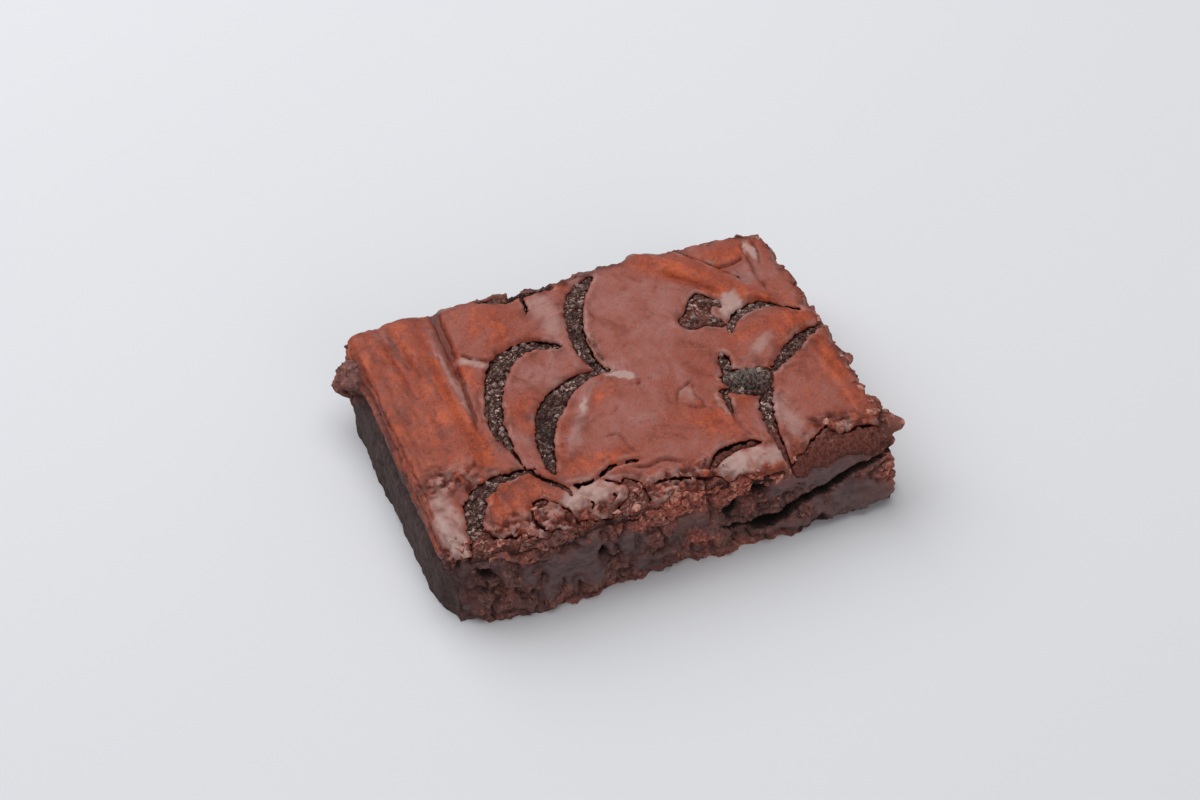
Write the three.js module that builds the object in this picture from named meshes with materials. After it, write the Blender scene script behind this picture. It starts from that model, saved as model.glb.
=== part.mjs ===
// A slice of chocolate brownie, as one solid.
//
// The slice is a slab about 100 mm long, 71 mm wide and 21 mm high over its lumps. Its top is a thin baked
// crust that has risen into low domes and split into plates; crescent-shaped fissures between the plates
// show the crumb below. The long front side, the right end and the back were cut with a knife, so they are
// crumbly walls that lean out towards the base, and the front one has a long horizontal split at its
// right. The left end baked against the pan: there the crust rolls over and the wall is smooth.
//
// The whole surface is one sheet: a grid for the top, whose points are drawn onto the rims of the
// fissures so that those stay crisp, rings of points for the walls, and a flat base.
//
// Millimetres, +Z up. The base lies on z = 0, +X runs along the long front side and +Y towards the back.
import * as THREE from "three";

// Driving dimensions.
const LENGTH = 92; // between the two ends, at crust level
const WIDTH = 64; // between front and back, at crust level
const CRUST_HEIGHT = 18.9; // of the crust between its domes, above the base
const CRUMB_DEPTH = 1.9; // from the crust down to the floor of a wide fissure
const PAN_ROLL = 3.5; // radius of the crust where it rolls over the pan side
const FRONT_LEAN = 2.4; // how far the base of the front wall stands out beyond its top, at most
const CORNER_ROUND = 2.2; // how far a corner of the slice is drawn in
const CRAG_SIZE = 4.2; // of the larger lumps of the torn walls
const ORIGIN = { x: -0.2, y: -1 }; // middle of the finished slice, moved to x = y = 0 at the end

// Divisions of the surface: cells along and across the top, and rings of wall above and below the split.
const COLUMNS = 64;
const ROWS = 45;
const RINGS_ABOVE = 5;
const RINGS_BELOW = 2;
const CELL = LENGTH / COLUMNS;

const { clamp, lerp } = THREE.MathUtils;
const bell = (d) => Math.exp(-d * d);
const clamp01 = (t) => clamp(t, 0, 1);

// Smooth value noise between -1 and 1 on a lattice of unit cells, the same at every run.
function latticeValue(i, j, k) {
  const wave = Math.sin(i * 127.1 + j * 311.7 + k * 74.7) * 43758.5453;
  return 2 * (wave - Math.floor(wave)) - 1;
}

function noise(x, y, z = 0) {
  const [i, j, k] = [x, y, z].map(Math.floor);
  const [u, v, w] = [x - i, y - j, z - k].map((f) => f * f * (3 - 2 * f));
  const edge = (dj, dk) => lerp(latticeValue(i, j + dj, k + dk), latticeValue(i + 1, j + dj, k + dk), u);
  return lerp(lerp(edge(0, 0), edge(1, 0), v), lerp(edge(0, 1), edge(1, 1), v), w);
}

// Two octaves of noise whose larger lumps measure about `size`.
function crags(point, size) {
  const [x, y, z] = point.toArray().map((c) => c / size);
  return 0.65 * noise(x, y, z) + 0.35 * noise(2.1 * x + 9, 2.1 * y, 2.1 * z);
}

// What stands up from the crust: middle, half widths and height of each risen plate, flake and crumb.
const RISES = [
  { name: "large plate", x: 13, y: 13, rx: 17, ry: 19, rise: 1.9 },
  { name: "half-moon plate", x: -2, y: -13, rx: 17, ry: 12, rise: 1.5 },
  { name: "plate between the crescents", x: -17, y: 2, rx: 7, ry: 13, rise: 1.1 },
  { name: "back plate", x: -19, y: 26, rx: 8, ry: 9, rise: 1.6 },
  { name: "small back plate", x: -5, y: 22, rx: 4, ry: 8, rise: 0.5 },
  { name: "plate by the right crescents", x: 37, y: 4, rx: 7, ry: 5, rise: 1.2 },
  { name: "right plate", x: 37, y: -14, rx: 8, ry: 11, rise: 1.2 },
  { name: "far corner plate", x: 37, y: 28, rx: 8, ry: 5, rise: 0.6 },
  { name: "narrow plate", x: 22.5, y: -17, rx: 3, ry: 6, rise: 0.5 },
  { name: "front blister", x: 16.5, y: -28.5, rx: 6, ry: 2.5, rise: 0.7 },
  { name: "left back corner", x: -41, y: 27, rx: 7, ry: 8, rise: 0.8 },
  { name: "left front corner", x: -44, y: -24, rx: 4, ry: 8, rise: 0.6 },
  { name: "crumb mound beside the large plate", x: 25, y: -8, rx: 5, ry: 2.9, rise: 1.3 },
  { name: "oval flake at the front edge", x: -24.5, y: -29, rx: 3.3, ry: 2.6, rise: 1.1 },
  { name: "pale flake at the front edge", x: -15.5, y: -27, rx: 4.6, ry: 2.8, rise: 1 },
  { name: "crumb in the front edge", x: -2, y: -30, rx: 4, ry: 1.8, rise: 0.8 },
];

// Long wrinkles of the crust, from one point to another: a ridge rises, and a furrow has a negative rise.
const WRINKLES = [
  { name: "ridge of the pan strip", from: [-35.5, 32], to: [-35.5, -9], half: 3.2, rise: 1.1 },
  { name: "furrow behind it", from: [-40.3, 34], to: [-39, 8], half: 1.6, rise: -0.9 },
  { name: "furrow before the fold", from: [-32.2, 31], to: [-32, 0], half: 1.3, rise: -0.7 },
  { name: "fold", from: [-30.6, 26], to: [-31.5, 0], half: 1.1, rise: 1.1 },
  { name: "fold across the large plate", from: [22, 27.5], to: [38, 12], half: 2.2, rise: 1.1 },
  { name: "rim over the pan side", from: [-46, 30], to: [-46, -30], half: 1.2, rise: 0.7 },
];

function wrinkleRise({ from, to, half, rise }, x, y) {
  const [ax, ay] = from;
  const [dx, dy] = [to[0] - ax, to[1] - ay];
  const along = clamp01(((x - ax) * dx + (y - ay) * dy) / (dx * dx + dy * dy));
  return rise * bell(Math.hypot(x - ax - along * dx, y - ay - along * dy) / half);
}

// Height of the crust above the base, with its fissures closed.
function crustHeight(x, y) {
  let z = CRUST_HEIGHT + 0.45 * noise(x / 13, y / 13, 1) + 0.2 * noise(x / 4.5, y / 4.5, 2);
  for (const { x: cx, y: cy, rx, ry, rise } of RISES) {
    z += rise * bell(Math.hypot((x - cx) / rx, (y - cy) / ry));
  }
  for (const wrinkle of WRINKLES) z += wrinkleRise(wrinkle, x, y);
  // The crust is broken down along the front edge, and rolls over the pan side.
  z -= 1.3 * clamp01((-24 - y) / 8) * (0.7 + 0.6 * noise(x / 5, 3, 3));
  const intoRoll = clamp01((-LENGTH / 2 + PAN_ROLL - x) / PAN_ROLL);
  return z - PAN_ROLL * 0.8 * (1 - Math.sqrt(1 - 0.96 * intoRoll * intoRoll));
}

// The fissures between the plates: the line each follows, its greatest width and how far along that lies.
const FISSURES = [
  {
    name: "left crescent",
    line: [[-6.5, 14.3], [-13, 17.2], [-20.5, 14], [-25, 5], [-27, -3], [-25.5, -12], [-23, -17]],
    width: 3.2,
    widest: 0.35,
  },
  {
    name: "middle crescent",
    line: [[0, 4.2], [-6, 4.8], [-12, 1.8], [-16.5, -3.5], [-19.3, -10], [-20.6, -18.5]],
    width: 3.4,
    widest: 0.5,
  },
  {
    name: "crescent beside the large plate",
    line: [[6.5, 31], [1.5, 27], [-1.8, 20], [-3, 12], [-1, 4.5]],
    width: 3,
    widest: 0.35,
  },
  { name: "far right crescent", line: [[27.3, 5.8], [30, 9.2], [34.5, 11], [38.5, 9.8], [43, 7.2]], width: 2.4, widest: 0.4 },
  { name: "right crescent", line: [[30.5, -8.5], [33, -6], [36.5, -3.8], [40.5, -1.2], [45.5, 1.5]], width: 2.8, widest: 0.5 },
  { name: "right front fissure", line: [[28.5, -11.5], [26, -15.5], [24.8, -20], [24.3, -25], [25, -31]], width: 2.2, widest: 0.2 },
  { name: "narrow fissure", line: [[20, -10.5], [19, -14], [19.5, -19]], width: 1.7, widest: 0.3 },
  { name: "front crescent", line: [[9.3, -28.8], [12, -26], [16, -24.9], [21, -25.3]], width: 2, widest: 0.3 },
  { name: "left front crescent", line: [[-24, -16.8], [-29, -15.4], [-35, -17], [-38.8, -21.5], [-41, -29]], width: 3.7, widest: 0.65 },
  { name: "furrow by the pan strip", line: [[-27, 34], [-28, 27], [-28.7, 18], [-29.2, 8], [-30.3, -1.5]], width: 1.4, widest: 0.3 },
  { name: "back crack", line: [[-9.5, 31.5], [-9.6, 26], [-10, 22]], width: 1.2, widest: 0.3 },
  { name: "far right crack", line: [[25.5, 33], [28.5, 29], [31.3, 25.5], [34, 22]], width: 1.2, widest: 0.3 },
  { name: "far corner fissure", line: [[42, 29], [40.3, 24], [39.3, 19], [39.2, 15]], width: 1.9, widest: 0.3 },
  { name: "front crack", line: [[-25, -17.5], [-20.5, -21.3], [-17.5, -22.6], [-13, -22], [-3, -21]], width: 1.2, widest: 0.4 },
  { name: "crack in the front edge", line: [[-4.5, -27.2], [0, -28.3], [5, -29.5], [9, -31.5]], width: 1.4, widest: 0.5 },
  { name: "gap below the crumb mound", line: [[18.6, -9], [21.5, -10.2], [26, -12.2], [30.5, -11.2]], width: 1.6, widest: 0.5 },
  { name: "rim of the chip", line: [[18.5, 8.2], [17.9, 10.8], [21.5, 15.5], [25, 18.6], [27.2, 15.4]], width: 1.5, widest: 0.45 },
  { name: "foot of the chip", line: [[18.3, 8.8], [22, 7.6], [26.4, 8.3]], width: 1.5, widest: 0.5 },
];

// Each fissure as a run of stations with a place, a half width and a depth.
const STATIONS = 28;
for (const fissure of FISSURES) {
  const { line, width, widest } = fissure;
  const curve = new THREE.SplineCurve(line.map(([x, y]) => new THREE.Vector2(x, y)));
  fissure.stations = curve.getPoints(STATIONS).map((place, n) => {
    const t = n / STATIONS;
    const swell = clamp01(t < widest ? t / widest : (1 - t) / (1 - widest));
    const half = (width / 2) * (0.1 + 0.9 * Math.sqrt(swell));
    return { place, half, depth: Math.min(CRUMB_DEPTH, 0.4 + 1.2 * half) };
  });
}

// The fissure nearest to a point: the foot of the point on its line, the distance, half width and depth there.
function nearestFissure(x, y) {
  const point = new THREE.Vector2(x, y);
  let best = { beyond: Infinity };
  for (const { stations } of FISSURES) {
    for (let n = 0; n < STATIONS; n++) {
      const [a, b] = [stations[n], stations[n + 1]];
      const step = b.place.clone().sub(a.place);
      const t = clamp01(point.clone().sub(a.place).dot(step) / step.lengthSq());
      const foot = a.place.clone().addScaledVector(step, t);
      const half = lerp(a.half, b.half, t);
      const distance = foot.distanceTo(point);
      const beyond = distance - half;
      if (beyond < best.beyond) best = { beyond, foot, distance, half, depth: lerp(a.depth, b.depth, t) };
    }
  }
  return best;
}

// Draws a point of the top onto the rim or the floor of a fissure that passes through its cell, and sinks the
// floor. A fissure too narrow for a floor of its own becomes a groove.
function cutFissure(point) {
  const { beyond, foot, distance, half, depth } = nearestFissure(point.x, point.y);
  const wide = half > 0.8 * CELL;
  const reach = 0.5 * CELL;
  let sink = 0;
  let target = distance;
  if (wide) {
    if (Math.abs(beyond) < reach) target = half;
    else if (beyond < 0) sink = depth;
  } else if (distance < reach) {
    target = 0;
    sink = depth;
  } else if (distance < half + 1.1 * CELL) {
    target = Math.max(half, 0.45, distance - 0.6 * CELL);
  }
  if (target !== distance && distance > 1e-6) {
    const scale = target / distance;
    point.x = foot.x + (point.x - foot.x) * scale;
    point.y = foot.y + (point.y - foot.y) * scale;
  }
  point.z = crustHeight(point.x, point.y) - sink * (1 + 0.3 * noise(point.x / 1.7, point.y / 1.7, 4));
}

// A point of the top, for u and v from -1 to 1, with uneven edges and drawn-in corners.
function topPoint(u, v) {
  let x = (u * LENGTH) / 2;
  let y = (v * WIDTH) / 2;
  const nearEdge = (t) => Math.abs(t) ** 8;
  const unevenness = (along, seed) => 0.7 * noise(along / 6, seed) + 0.35 * noise(along / 2.3, seed + 1);
  x += nearEdge(u) * unevenness(y, 5 * Math.sign(u));
  y += nearEdge(v) * unevenness(x, 8 * Math.sign(v));
  // The back edge stands a little further out behind the pan strip and the large plate.
  if (v > 0) y += nearEdge(v) * (2 * bell((x + 37) / 17) + bell((x - 15) / 12) + 0.2);
  const corner = bell((1 - Math.abs(u)) * 9) * bell((1 - Math.abs(v)) * 7);
  // Only the back left corner is round: the knife left the others square.
  const roundness = u < 0 && v > 0 ? CORNER_ROUND : 0.3 * CORNER_ROUND;
  x -= Math.sign(u) * roundness * corner;
  y -= Math.sign(v) * roundness * corner;
  return new THREE.Vector3(x, y, crustHeight(x, y));
}

// The long split in the front wall, which runs on round the right corner. Distances along it count to the right
// along the front from x = 0, and on round the corner. `reach` is how deep it runs in. Where it is closed, the
// rings of the wall pass its line at the distance `closed` and settle to the height `level` within `settle`.
const SPLIT = { start: 9, end: 54, mouth: 1.5, reach: 8, closed: 0.7, level: 5.2, settle: 12 };
const SPLIT_LINE = new THREE.SplineCurve(
  [[9, 5.6], [15, 4.7], [21, 4.8], [26, 6.9], [31, 8], [37, 9.1], [42, 11.6], [47, 13.8], [54, 14]].map(
    ([s, z]) => new THREE.Vector2(s, z),
  ),
);

// The height, mouth and reach of the split below one point of the crust's edge. It is shut along the back.
function splitBelow(edge, outward) {
  const isBack = outward.y > 0.5;
  const s = isBack ? SPLIT.start : edge.x + Math.max(0, outward.x) ** 2 * (edge.y + WIDTH / 2);
  const t = clamp01((s - SPLIT.start) / (SPLIT.end - SPLIT.start));
  const open = Math.sin(Math.PI * t) ** 0.6;
  const z = lerp(SPLIT_LINE.getPoint(t).y, SPLIT.level, clamp01((s - SPLIT.end) / SPLIT.settle));
  return { z, mouth: SPLIT.mouth * open, reach: SPLIT.reach * open };
}

// Lumps that stand out of the walls, and holes that go in: place, half widths and how far.
const WALL_RELIEF = [
  { name: "crumb at the back left corner", x: -48.6, y: 29.6, z: 12.6, rx: 5.5, ry: 4.4, rz: 4.4, out: 5.6 },
  { name: "upper crumb at the front right corner", x: 47.4, y: -30, z: 17.2, rx: 4.5, ry: 3.6, rz: 2.8, out: 6.6 },
  { name: "bulge at the front right corner", x: 48, y: -30, z: 10.5, rx: 4, ry: 4.5, rz: 4.5, out: 2 },
  { name: "lower crumb at the front right corner", x: 48.4, y: -31, z: 3.4, rx: 4, ry: 3.6, rz: 2.8, out: 3 },
  { name: "lip below the split", x: 38, y: -34, z: 2.2, rx: 7, ry: 4, rz: 2.6, out: 1.6 },
  { name: "crumb at the foot of the front", x: -31, y: -34, z: 2, rx: 5, ry: 4, rz: 2.6, out: 1.5 },
  { name: "crumb by the front left corner", x: -41, y: -33, z: 2, rx: 3.5, ry: 4, rz: 2.6, out: 0.8 },
  { name: "flake on the front wall", x: 5, y: -33, z: 4.5, rx: 3.4, ry: 4, rz: 2, out: 1.3 },
  { name: "hole by the front left corner", x: -40, y: -33, z: 10.5, rx: 2.8, ry: 4, rz: 2.2, out: -1.8 },
  { name: "hole above the split", x: 12, y: -33, z: 9.4, rx: 2, ry: 4, rz: 1.9, out: -2.2 },
  { name: "second hole above the split", x: 17.5, y: -33, z: 12.6, rx: 2, ry: 4, rz: 1.9, out: -2.2 },
  { name: "dent in the front wall", x: -15.5, y: -33, z: 8.4, rx: 1.6, ry: 4, rz: 2.2, out: -1.4 },
];

const panShare = (outward) => Math.max(0, -outward.x) ** 2;

// How far the front wall's base stands out: most at the left of the middle and little at the right.
const frontLean = (x) => FRONT_LEAN * (0.42 + 0.62 * bell((x + 25) / 13) + 0.5 * bell((x - 10) / 3));

// How far the wall stands out from the crust's edge, `down` being 0 at the crust and 1 at the base.
function wallOffset(edge, outward, down) {
  const front = Math.max(0, -outward.y) ** 2;
  const right = Math.max(0, outward.x) ** 2;
  const pan = panShare(outward);
  const lip = pan * (1.7 * Math.sin((Math.PI / 2) * Math.min(1, 2.5 * down)) + 0.5 * down);
  const foot = (1 - pan) * 0.5 * clamp01((down - 0.75) * 4);
  return front * frontLean(edge.x) * down ** 1.3 + right * 0.9 * down + lip + foot;
}

// A point of the outside of a wall at height z, below the crust's edge.
function wallPoint(edge, outward, z) {
  const down = 1 - z / edge.z;
  const point = edge.clone().setZ(z).addScaledVector(outward, wallOffset(edge, outward, down));
  const fade = Math.sin((Math.PI / 2) * Math.min(1, 2.5 * down));
  let out = lerp(0.9, 0.3, panShare(outward)) * fade * crags(point, CRAG_SIZE);
  for (const { x, y, z: cz, rx, ry, rz, out: reach } of WALL_RELIEF) {
    out += reach * bell(Math.hypot((point.x - x) / rx, (point.y - y) / ry, (point.z - cz) / rz));
  }
  return point.addScaledVector(outward, out);
}

// The points of the wall below one point of the crust's edge, from the first ring to the base.
function wallColumn(edge, outward) {
  const { z, mouth, reach } = splitBelow(edge, outward);
  const lip = Math.max(mouth / 2, SPLIT.closed);
  const [upper, lower] = [z + lip, z - lip];
  const column = [];
  for (let n = 1; n <= RINGS_ABOVE; n++) {
    column.push(wallPoint(edge, outward, lerp(edge.z, upper, n / RINGS_ABOVE)));
  }
  column.push(wallPoint(edge, outward, z).addScaledVector(outward, -reach));
  for (let n = 0; n <= RINGS_BELOW; n++) {
    column.push(wallPoint(edge, outward, lerp(lower, 0, n / RINGS_BELOW)));
  }
  return column;
}

function sliceGeometry() {
  const points = [];
  for (let j = 0; j <= ROWS; j++) {
    for (let i = 0; i <= COLUMNS; i++) {
      const point = topPoint((2 * i) / COLUMNS - 1, (2 * j) / ROWS - 1);
      const inside = i > 0 && i < COLUMNS && j > 0 && j < ROWS;
      if (inside) cutFissure(point);
      points.push(point);
    }
  }
  const at = (i, j) => j * (COLUMNS + 1) + i;
  const index = [];
  for (let j = 0; j < ROWS; j++) {
    for (let i = 0; i < COLUMNS; i++) {
      // The shorter diagonal follows a fissure's rim better.
      const [a, b, c, d] = [at(i, j), at(i + 1, j), at(i + 1, j + 1), at(i, j + 1)];
      const straight = points[a].distanceTo(points[c]) < points[b].distanceTo(points[d]);
      index.push(...(straight ? [a, b, c, a, c, d] : [a, b, d, b, c, d]));
    }
  }
  // The edge of the top, anticlockwise from the front left corner, and the way out from each of its points.
  let ring = [];
  for (let i = 0; i < COLUMNS; i++) ring.push(at(i, 0));
  for (let j = 0; j < ROWS; j++) ring.push(at(COLUMNS, j));
  for (let i = COLUMNS; i > 0; i--) ring.push(at(i, ROWS));
  for (let j = ROWS; j > 0; j--) ring.push(at(0, j));
  const count = ring.length;
  const columns = ring.map((_, n) => {
    const tangent = points[ring[(n + 3) % count]].clone().sub(points[ring[(n + count - 3) % count]]);
    return wallColumn(points[ring[n]], new THREE.Vector3(tangent.y, -tangent.x, 0).normalize());
  });
  for (let level = 0; level < columns[0].length; level++) {
    const next = columns.map((column) => points.push(column[level]) - 1);
    for (let n = 0; n < count; n++) {
      const m = (n + 1) % count;
      index.push(ring[n], next[n], next[m], ring[n], next[m], ring[m]);
    }
    ring = next;
  }
  const base = ring.map((n) => new THREE.Vector2(points[n].x, points[n].y));
  for (const [a, b, c] of THREE.ShapeUtils.triangulateShape(base, [])) {
    index.push(ring[a], ring[c], ring[b]);
  }
  return new THREE.BufferGeometry().setFromPoints(points).setIndex(index);
}

const bakedCrumb = new THREE.MeshStandardMaterial({ color: 0x7d4438, roughness: 0.6, metalness: 0 });

const slice = new THREE.Mesh(sliceGeometry(), bakedCrumb);
slice.name = "brownie";
slice.position.set(-ORIGIN.x, -ORIGIN.y, 0);

const brownie = new THREE.Group();
brownie.add(slice);

export default brownie;
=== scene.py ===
# %% [markdown]
# # A slice of chocolate brownie
# A brownie is one baked piece, but two things make its look: a paper-thin crust, red-brown and satin,
# that rose into low domes and tore into plates, and the dark moist crumb that shows in the tears and
# on the cut sides. Both are built here as fine closed meshes from formulas. The solid that the frame
# brings has the same form with far fewer faces, so the numbers below repeat its driving dimensions.

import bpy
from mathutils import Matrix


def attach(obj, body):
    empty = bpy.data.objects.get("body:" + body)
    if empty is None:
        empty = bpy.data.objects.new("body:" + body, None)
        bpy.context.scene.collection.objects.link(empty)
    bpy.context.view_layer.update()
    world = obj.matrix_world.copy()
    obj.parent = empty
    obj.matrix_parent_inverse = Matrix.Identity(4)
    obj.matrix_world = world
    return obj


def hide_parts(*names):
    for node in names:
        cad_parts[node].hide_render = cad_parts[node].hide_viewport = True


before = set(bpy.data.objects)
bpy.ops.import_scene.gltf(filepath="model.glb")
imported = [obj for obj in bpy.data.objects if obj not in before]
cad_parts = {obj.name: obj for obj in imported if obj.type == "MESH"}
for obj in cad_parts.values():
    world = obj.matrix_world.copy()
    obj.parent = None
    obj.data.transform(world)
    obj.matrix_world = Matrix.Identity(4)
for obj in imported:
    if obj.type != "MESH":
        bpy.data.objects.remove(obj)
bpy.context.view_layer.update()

# %% Imports
import itertools
import math

import bmesh
import bpy
import mathutils
import numpy as np

# %% [markdown]
# Shapes are worked out in millimetres, with x to the right along the cut front, y to the back and
# z up from the base. A single function turns such points into the frame's metres.

# %% Driving dimensions
LENGTH = 92.0
WIDTH = 64.0
CRUST_HEIGHT = 18.9
CRUST_THICKNESS = 0.75
CORNER_ROUND = 2.2
FRONT_LEAN = 2.4
ORIGIN = np.array([-0.2, -1.0, 0.0])
MM = 0.001


def in_frame(points):
    """Millimetre points of the slice, as metres in the frame."""
    return (np.asarray(points, float) - ORIGIN) * MM


def add_object(name, data):
    """A new object in the scene, at the origin."""
    made = bpy.data.objects.new(name, data)
    bpy.context.scene.collection.objects.link(made)
    return made


def direction(azimuth, elevation):
    """The way to a viewer at these angles in degrees, from the front to the right and up."""
    a, e = math.radians(azimuth), math.radians(elevation)
    return mathutils.Vector((math.sin(a) * math.cos(e), -math.cos(a) * math.cos(e), math.sin(e)))


# %% [markdown]
# The camera comes first, so that each later step can be looked at. Its lens and place were fitted to
# the outline of the slice: a short telephoto, looking down by about 46 degrees from the front left.

# %% Camera
CAMERA_AZIMUTH = -21.35
CAMERA_ELEVATION = 45.7
CAMERA_DISTANCE = 581.1
CAMERA_TARGET = np.array([-1.99, 4.46, 11.0])

camera_data = bpy.data.cameras.new("camera")
camera_data.lens = 85
camera_data.sensor_width = 36
camera_data.sensor_fit = "HORIZONTAL"
camera_data.clip_start = 0.01
camera = add_object("camera", camera_data)
camera_back = direction(CAMERA_AZIMUTH, CAMERA_ELEVATION)
camera.location = mathutils.Vector(in_frame(CAMERA_TARGET)) + camera_back * CAMERA_DISTANCE * MM
camera.rotation_euler = (-camera_back).to_track_quat("-Z", "Y").to_euler()
bpy.context.scene.camera = camera

# %% [markdown]
# Baked crumb is uneven at every scale. Two kinds of randomness make it: smooth noise on a lattice for
# lumps and wrinkles, and a cellular one, made of the distance to scattered points, for pores and grains.
# Neither keeps a random state, so each run gives the same slice.

# %% Noise
def lattice(i, j, k):
    """A fixed random number between -1 and 1 for each whole-numbered point."""
    wave = np.sin(i * 127.1 + j * 311.7 + k * 74.7) * 43758.5453
    return 2 * (wave - np.floor(wave)) - 1


def lerp(a, b, t):
    return a + (b - a) * t


def noise(x, y, z=0.0):
    """Smooth noise between -1 and 1, on unit cells."""
    x, y, z = np.broadcast_arrays(x, y, z)
    i, j, k = np.floor(x), np.floor(y), np.floor(z)
    u, v, w = ((c - f) ** 2 * (3 - 2 * (c - f)) for c, f in ((x, i), (y, j), (z, k)))

    def edge(dj, dk):
        return lerp(lattice(i, j + dj, k + dk), lattice(i + 1, j + dj, k + dk), u)

    return lerp(lerp(edge(0, 0), edge(1, 0), v), lerp(edge(0, 1), edge(1, 1), v), w)


def flat_noise(x, y, size, seed):
    """Smooth noise over a plane, whose lumps measure `size`."""
    return noise(x / size, y / size, seed)


def rough(x, y, z, size, octaves=3):
    """Noise with finer and finer octaves, whose largest lumps measure `size`."""
    total = 0
    for octave in range(octaves):
        scale = 2.03**octave / size
        total = total + noise(x * scale + 7.7 * octave, y * scale, z * scale) * 0.55**octave
    return total


def cells(x, y, z, size, seed=0):
    """Distance to the nearest of one scattered point a cell, in cells, and that point's own number."""
    x, y, z = (c / size for c in np.broadcast_arrays(x, y, z))
    i, j, k = np.floor(x), np.floor(y), np.floor(z)
    nearest = np.full(x.shape, 9.0)
    number = np.zeros(x.shape)
    for di, dj, dk in itertools.product((-1, 0, 1), repeat=3):
        a, b, c = i + di, j + dj, k + dk
        px = a + 0.5 + 0.42 * lattice(a, b, c + seed)
        py = b + 0.5 + 0.42 * lattice(b + 31, c + seed, a)
        pz = c + 0.5 + 0.42 * lattice(c + seed + 57, a, b)
        distance = np.sqrt((x - px) ** 2 + (y - py) ** 2 + (z - pz) ** 2)
        closer = distance < nearest
        nearest = np.where(closer, distance, nearest)
        number = np.where(closer, lattice(a + 11, b, c + seed), number)
    return nearest, number


def bell(d):
    """1 at a distance of 0, falling smoothly to nothing at about 2."""
    return np.exp(-d * d)


def spot(x, y, cx, cy, rx, ry):
    """1 in the middle of an ellipse, falling smoothly to nothing outside it."""
    return bell(np.hypot((x - cx) / rx, (y - cy) / ry))


def blob(place, middle, radii):
    """The same in space, for an ellipsoid."""
    return bell(np.sqrt(sum(((p - m) / r) ** 2 for p, m, r in zip(place, middle, radii))))


def ramp(value, low, high):
    """0 below `low` and 1 above `high`, with a smooth rise between."""
    t = np.clip((value - low) / (high - low), 0, 1)
    return t * t * (3 - 2 * t)


def tapered(share, length):
    """1 along a line, falling to 0 over a share of its length at each end."""
    return ramp(share, 0, length) * ramp(1 - share, 0, length)


# %% [markdown]
# The tears in the crust follow curves through a few points. For any spot on the crust, what matters is
# how far it lies from the nearest tear and on which side of it.

# %% Curves
def spline(points, count):
    """A smooth curve through the given points, as `count` points along it."""
    points = np.array(points, float)
    last = len(points) - 1
    t = np.linspace(0, last, count)
    i = np.minimum(t.astype(int), last - 1)
    f = (t - i)[:, None]
    before, start, end, after = (points[np.clip(i + n, 0, last)] for n in (-1, 0, 1, 2))
    bend = 2 * before - 5 * start + 4 * end - after
    twist = 3 * start - before - 3 * end + after
    return 0.5 * (2 * start + (end - before) * f + bend * f**2 + twist * f**3)


def arc_lengths(line):
    """How far along a line each of its points lies."""
    return np.concatenate([[0], np.cumsum(np.hypot(*np.diff(line, axis=0).T))])


def unit(vectors):
    return vectors / np.hypot(*vectors.T)[:, None]


def near_line(x, y, line, reach):
    """Which points lie within `reach` of the box around a line."""
    low, high = line.min(0) - reach, line.max(0) + reach
    return (x > low[0]) & (x < high[0]) & (y > low[1]) & (y < high[1])


def along_line(x, y, line, half=None):
    """How far points lie beyond a line's half width, on which side (1 is left), and how far along."""
    half = np.zeros(len(line)) if half is None else half
    beyond = np.full(x.shape, np.inf)
    side = np.zeros(x.shape)
    share = np.zeros(x.shape)
    for n in range(len(line) - 1):
        (ax, ay), (dx, dy) = line[n], line[n + 1] - line[n]
        t = np.clip(((x - ax) * dx + (y - ay) * dy) / (dx * dx + dy * dy + 1e-12), 0, 1)
        ox, oy = x - ax - t * dx, y - ay - t * dy
        distance = np.hypot(ox, oy) - lerp(half[n], half[n + 1], t)
        closer = distance < beyond
        beyond = np.where(closer, distance, beyond)
        side = np.where(closer, np.sign(dx * oy - dy * ox), side)
        share = np.where(closer, (n + t) / (len(line) - 1), share)
    return beyond, side, share


# %% [markdown]
# ## The form of the crust
# Baking blew the crust into domes. Each is a smooth rise, and folds are ridges along a line.

# %% Domes and folds
RISES = [
    # middle x and y, half widths, height
    (13, 13, 17, 19, 1.9),
    (-2, -13, 17, 12, 1.5),
    (-17, 2, 7, 13, 1.1),
    (-19, 26, 8, 9, 1.6),
    (-5, 22, 4, 8, 0.5),
    (37, 4, 7, 5, 1.2),
    (37, -14, 8, 11, 1.2),
    (37, 28, 8, 5, 0.6),
    (22.5, -17, 3, 6, 0.5),
    (16.5, -28.5, 6, 2.5, 0.7),
    (-41, 27, 7, 8, 0.8),
    (-44, -24, 4, 8, 0.2),
    (25, -8, 5, 2.9, 0.9),
    (-31, -24, 6, 6, 0.8),
]
WRINKLES = [
    # from, to, half width, height
    ((-34.5, 32), (-34.5, -9), 2.6, 0.9),
    ((-40.3, 34), (-38.6, 12), 1.2, -0.8),
    ((-38.2, 31), (-37, 16), 0.6, -0.5),
    ((-30.9, 27), (-31.2, 0), 0.8, 0.7),
    ((-28.2, 34), (-28.8, 14), 1.0, -1.1),
    ((-45.6, 33), (-46, -30), 1.2, 0.6),
    ((17, 33), (38, 12.4), 2.2, 1.1),
    ((21, 25.6), (29, 16.6), 0.8, -0.4),
    ((-15, 32.8), (0, 32.2), 1.4, 0.9),
    ((40.6, -4), (42.6, -21), 0.9, 0.5),
    ((-17, -16), (-7.5, -2.4), 1.3, 0.5),
]


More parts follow.
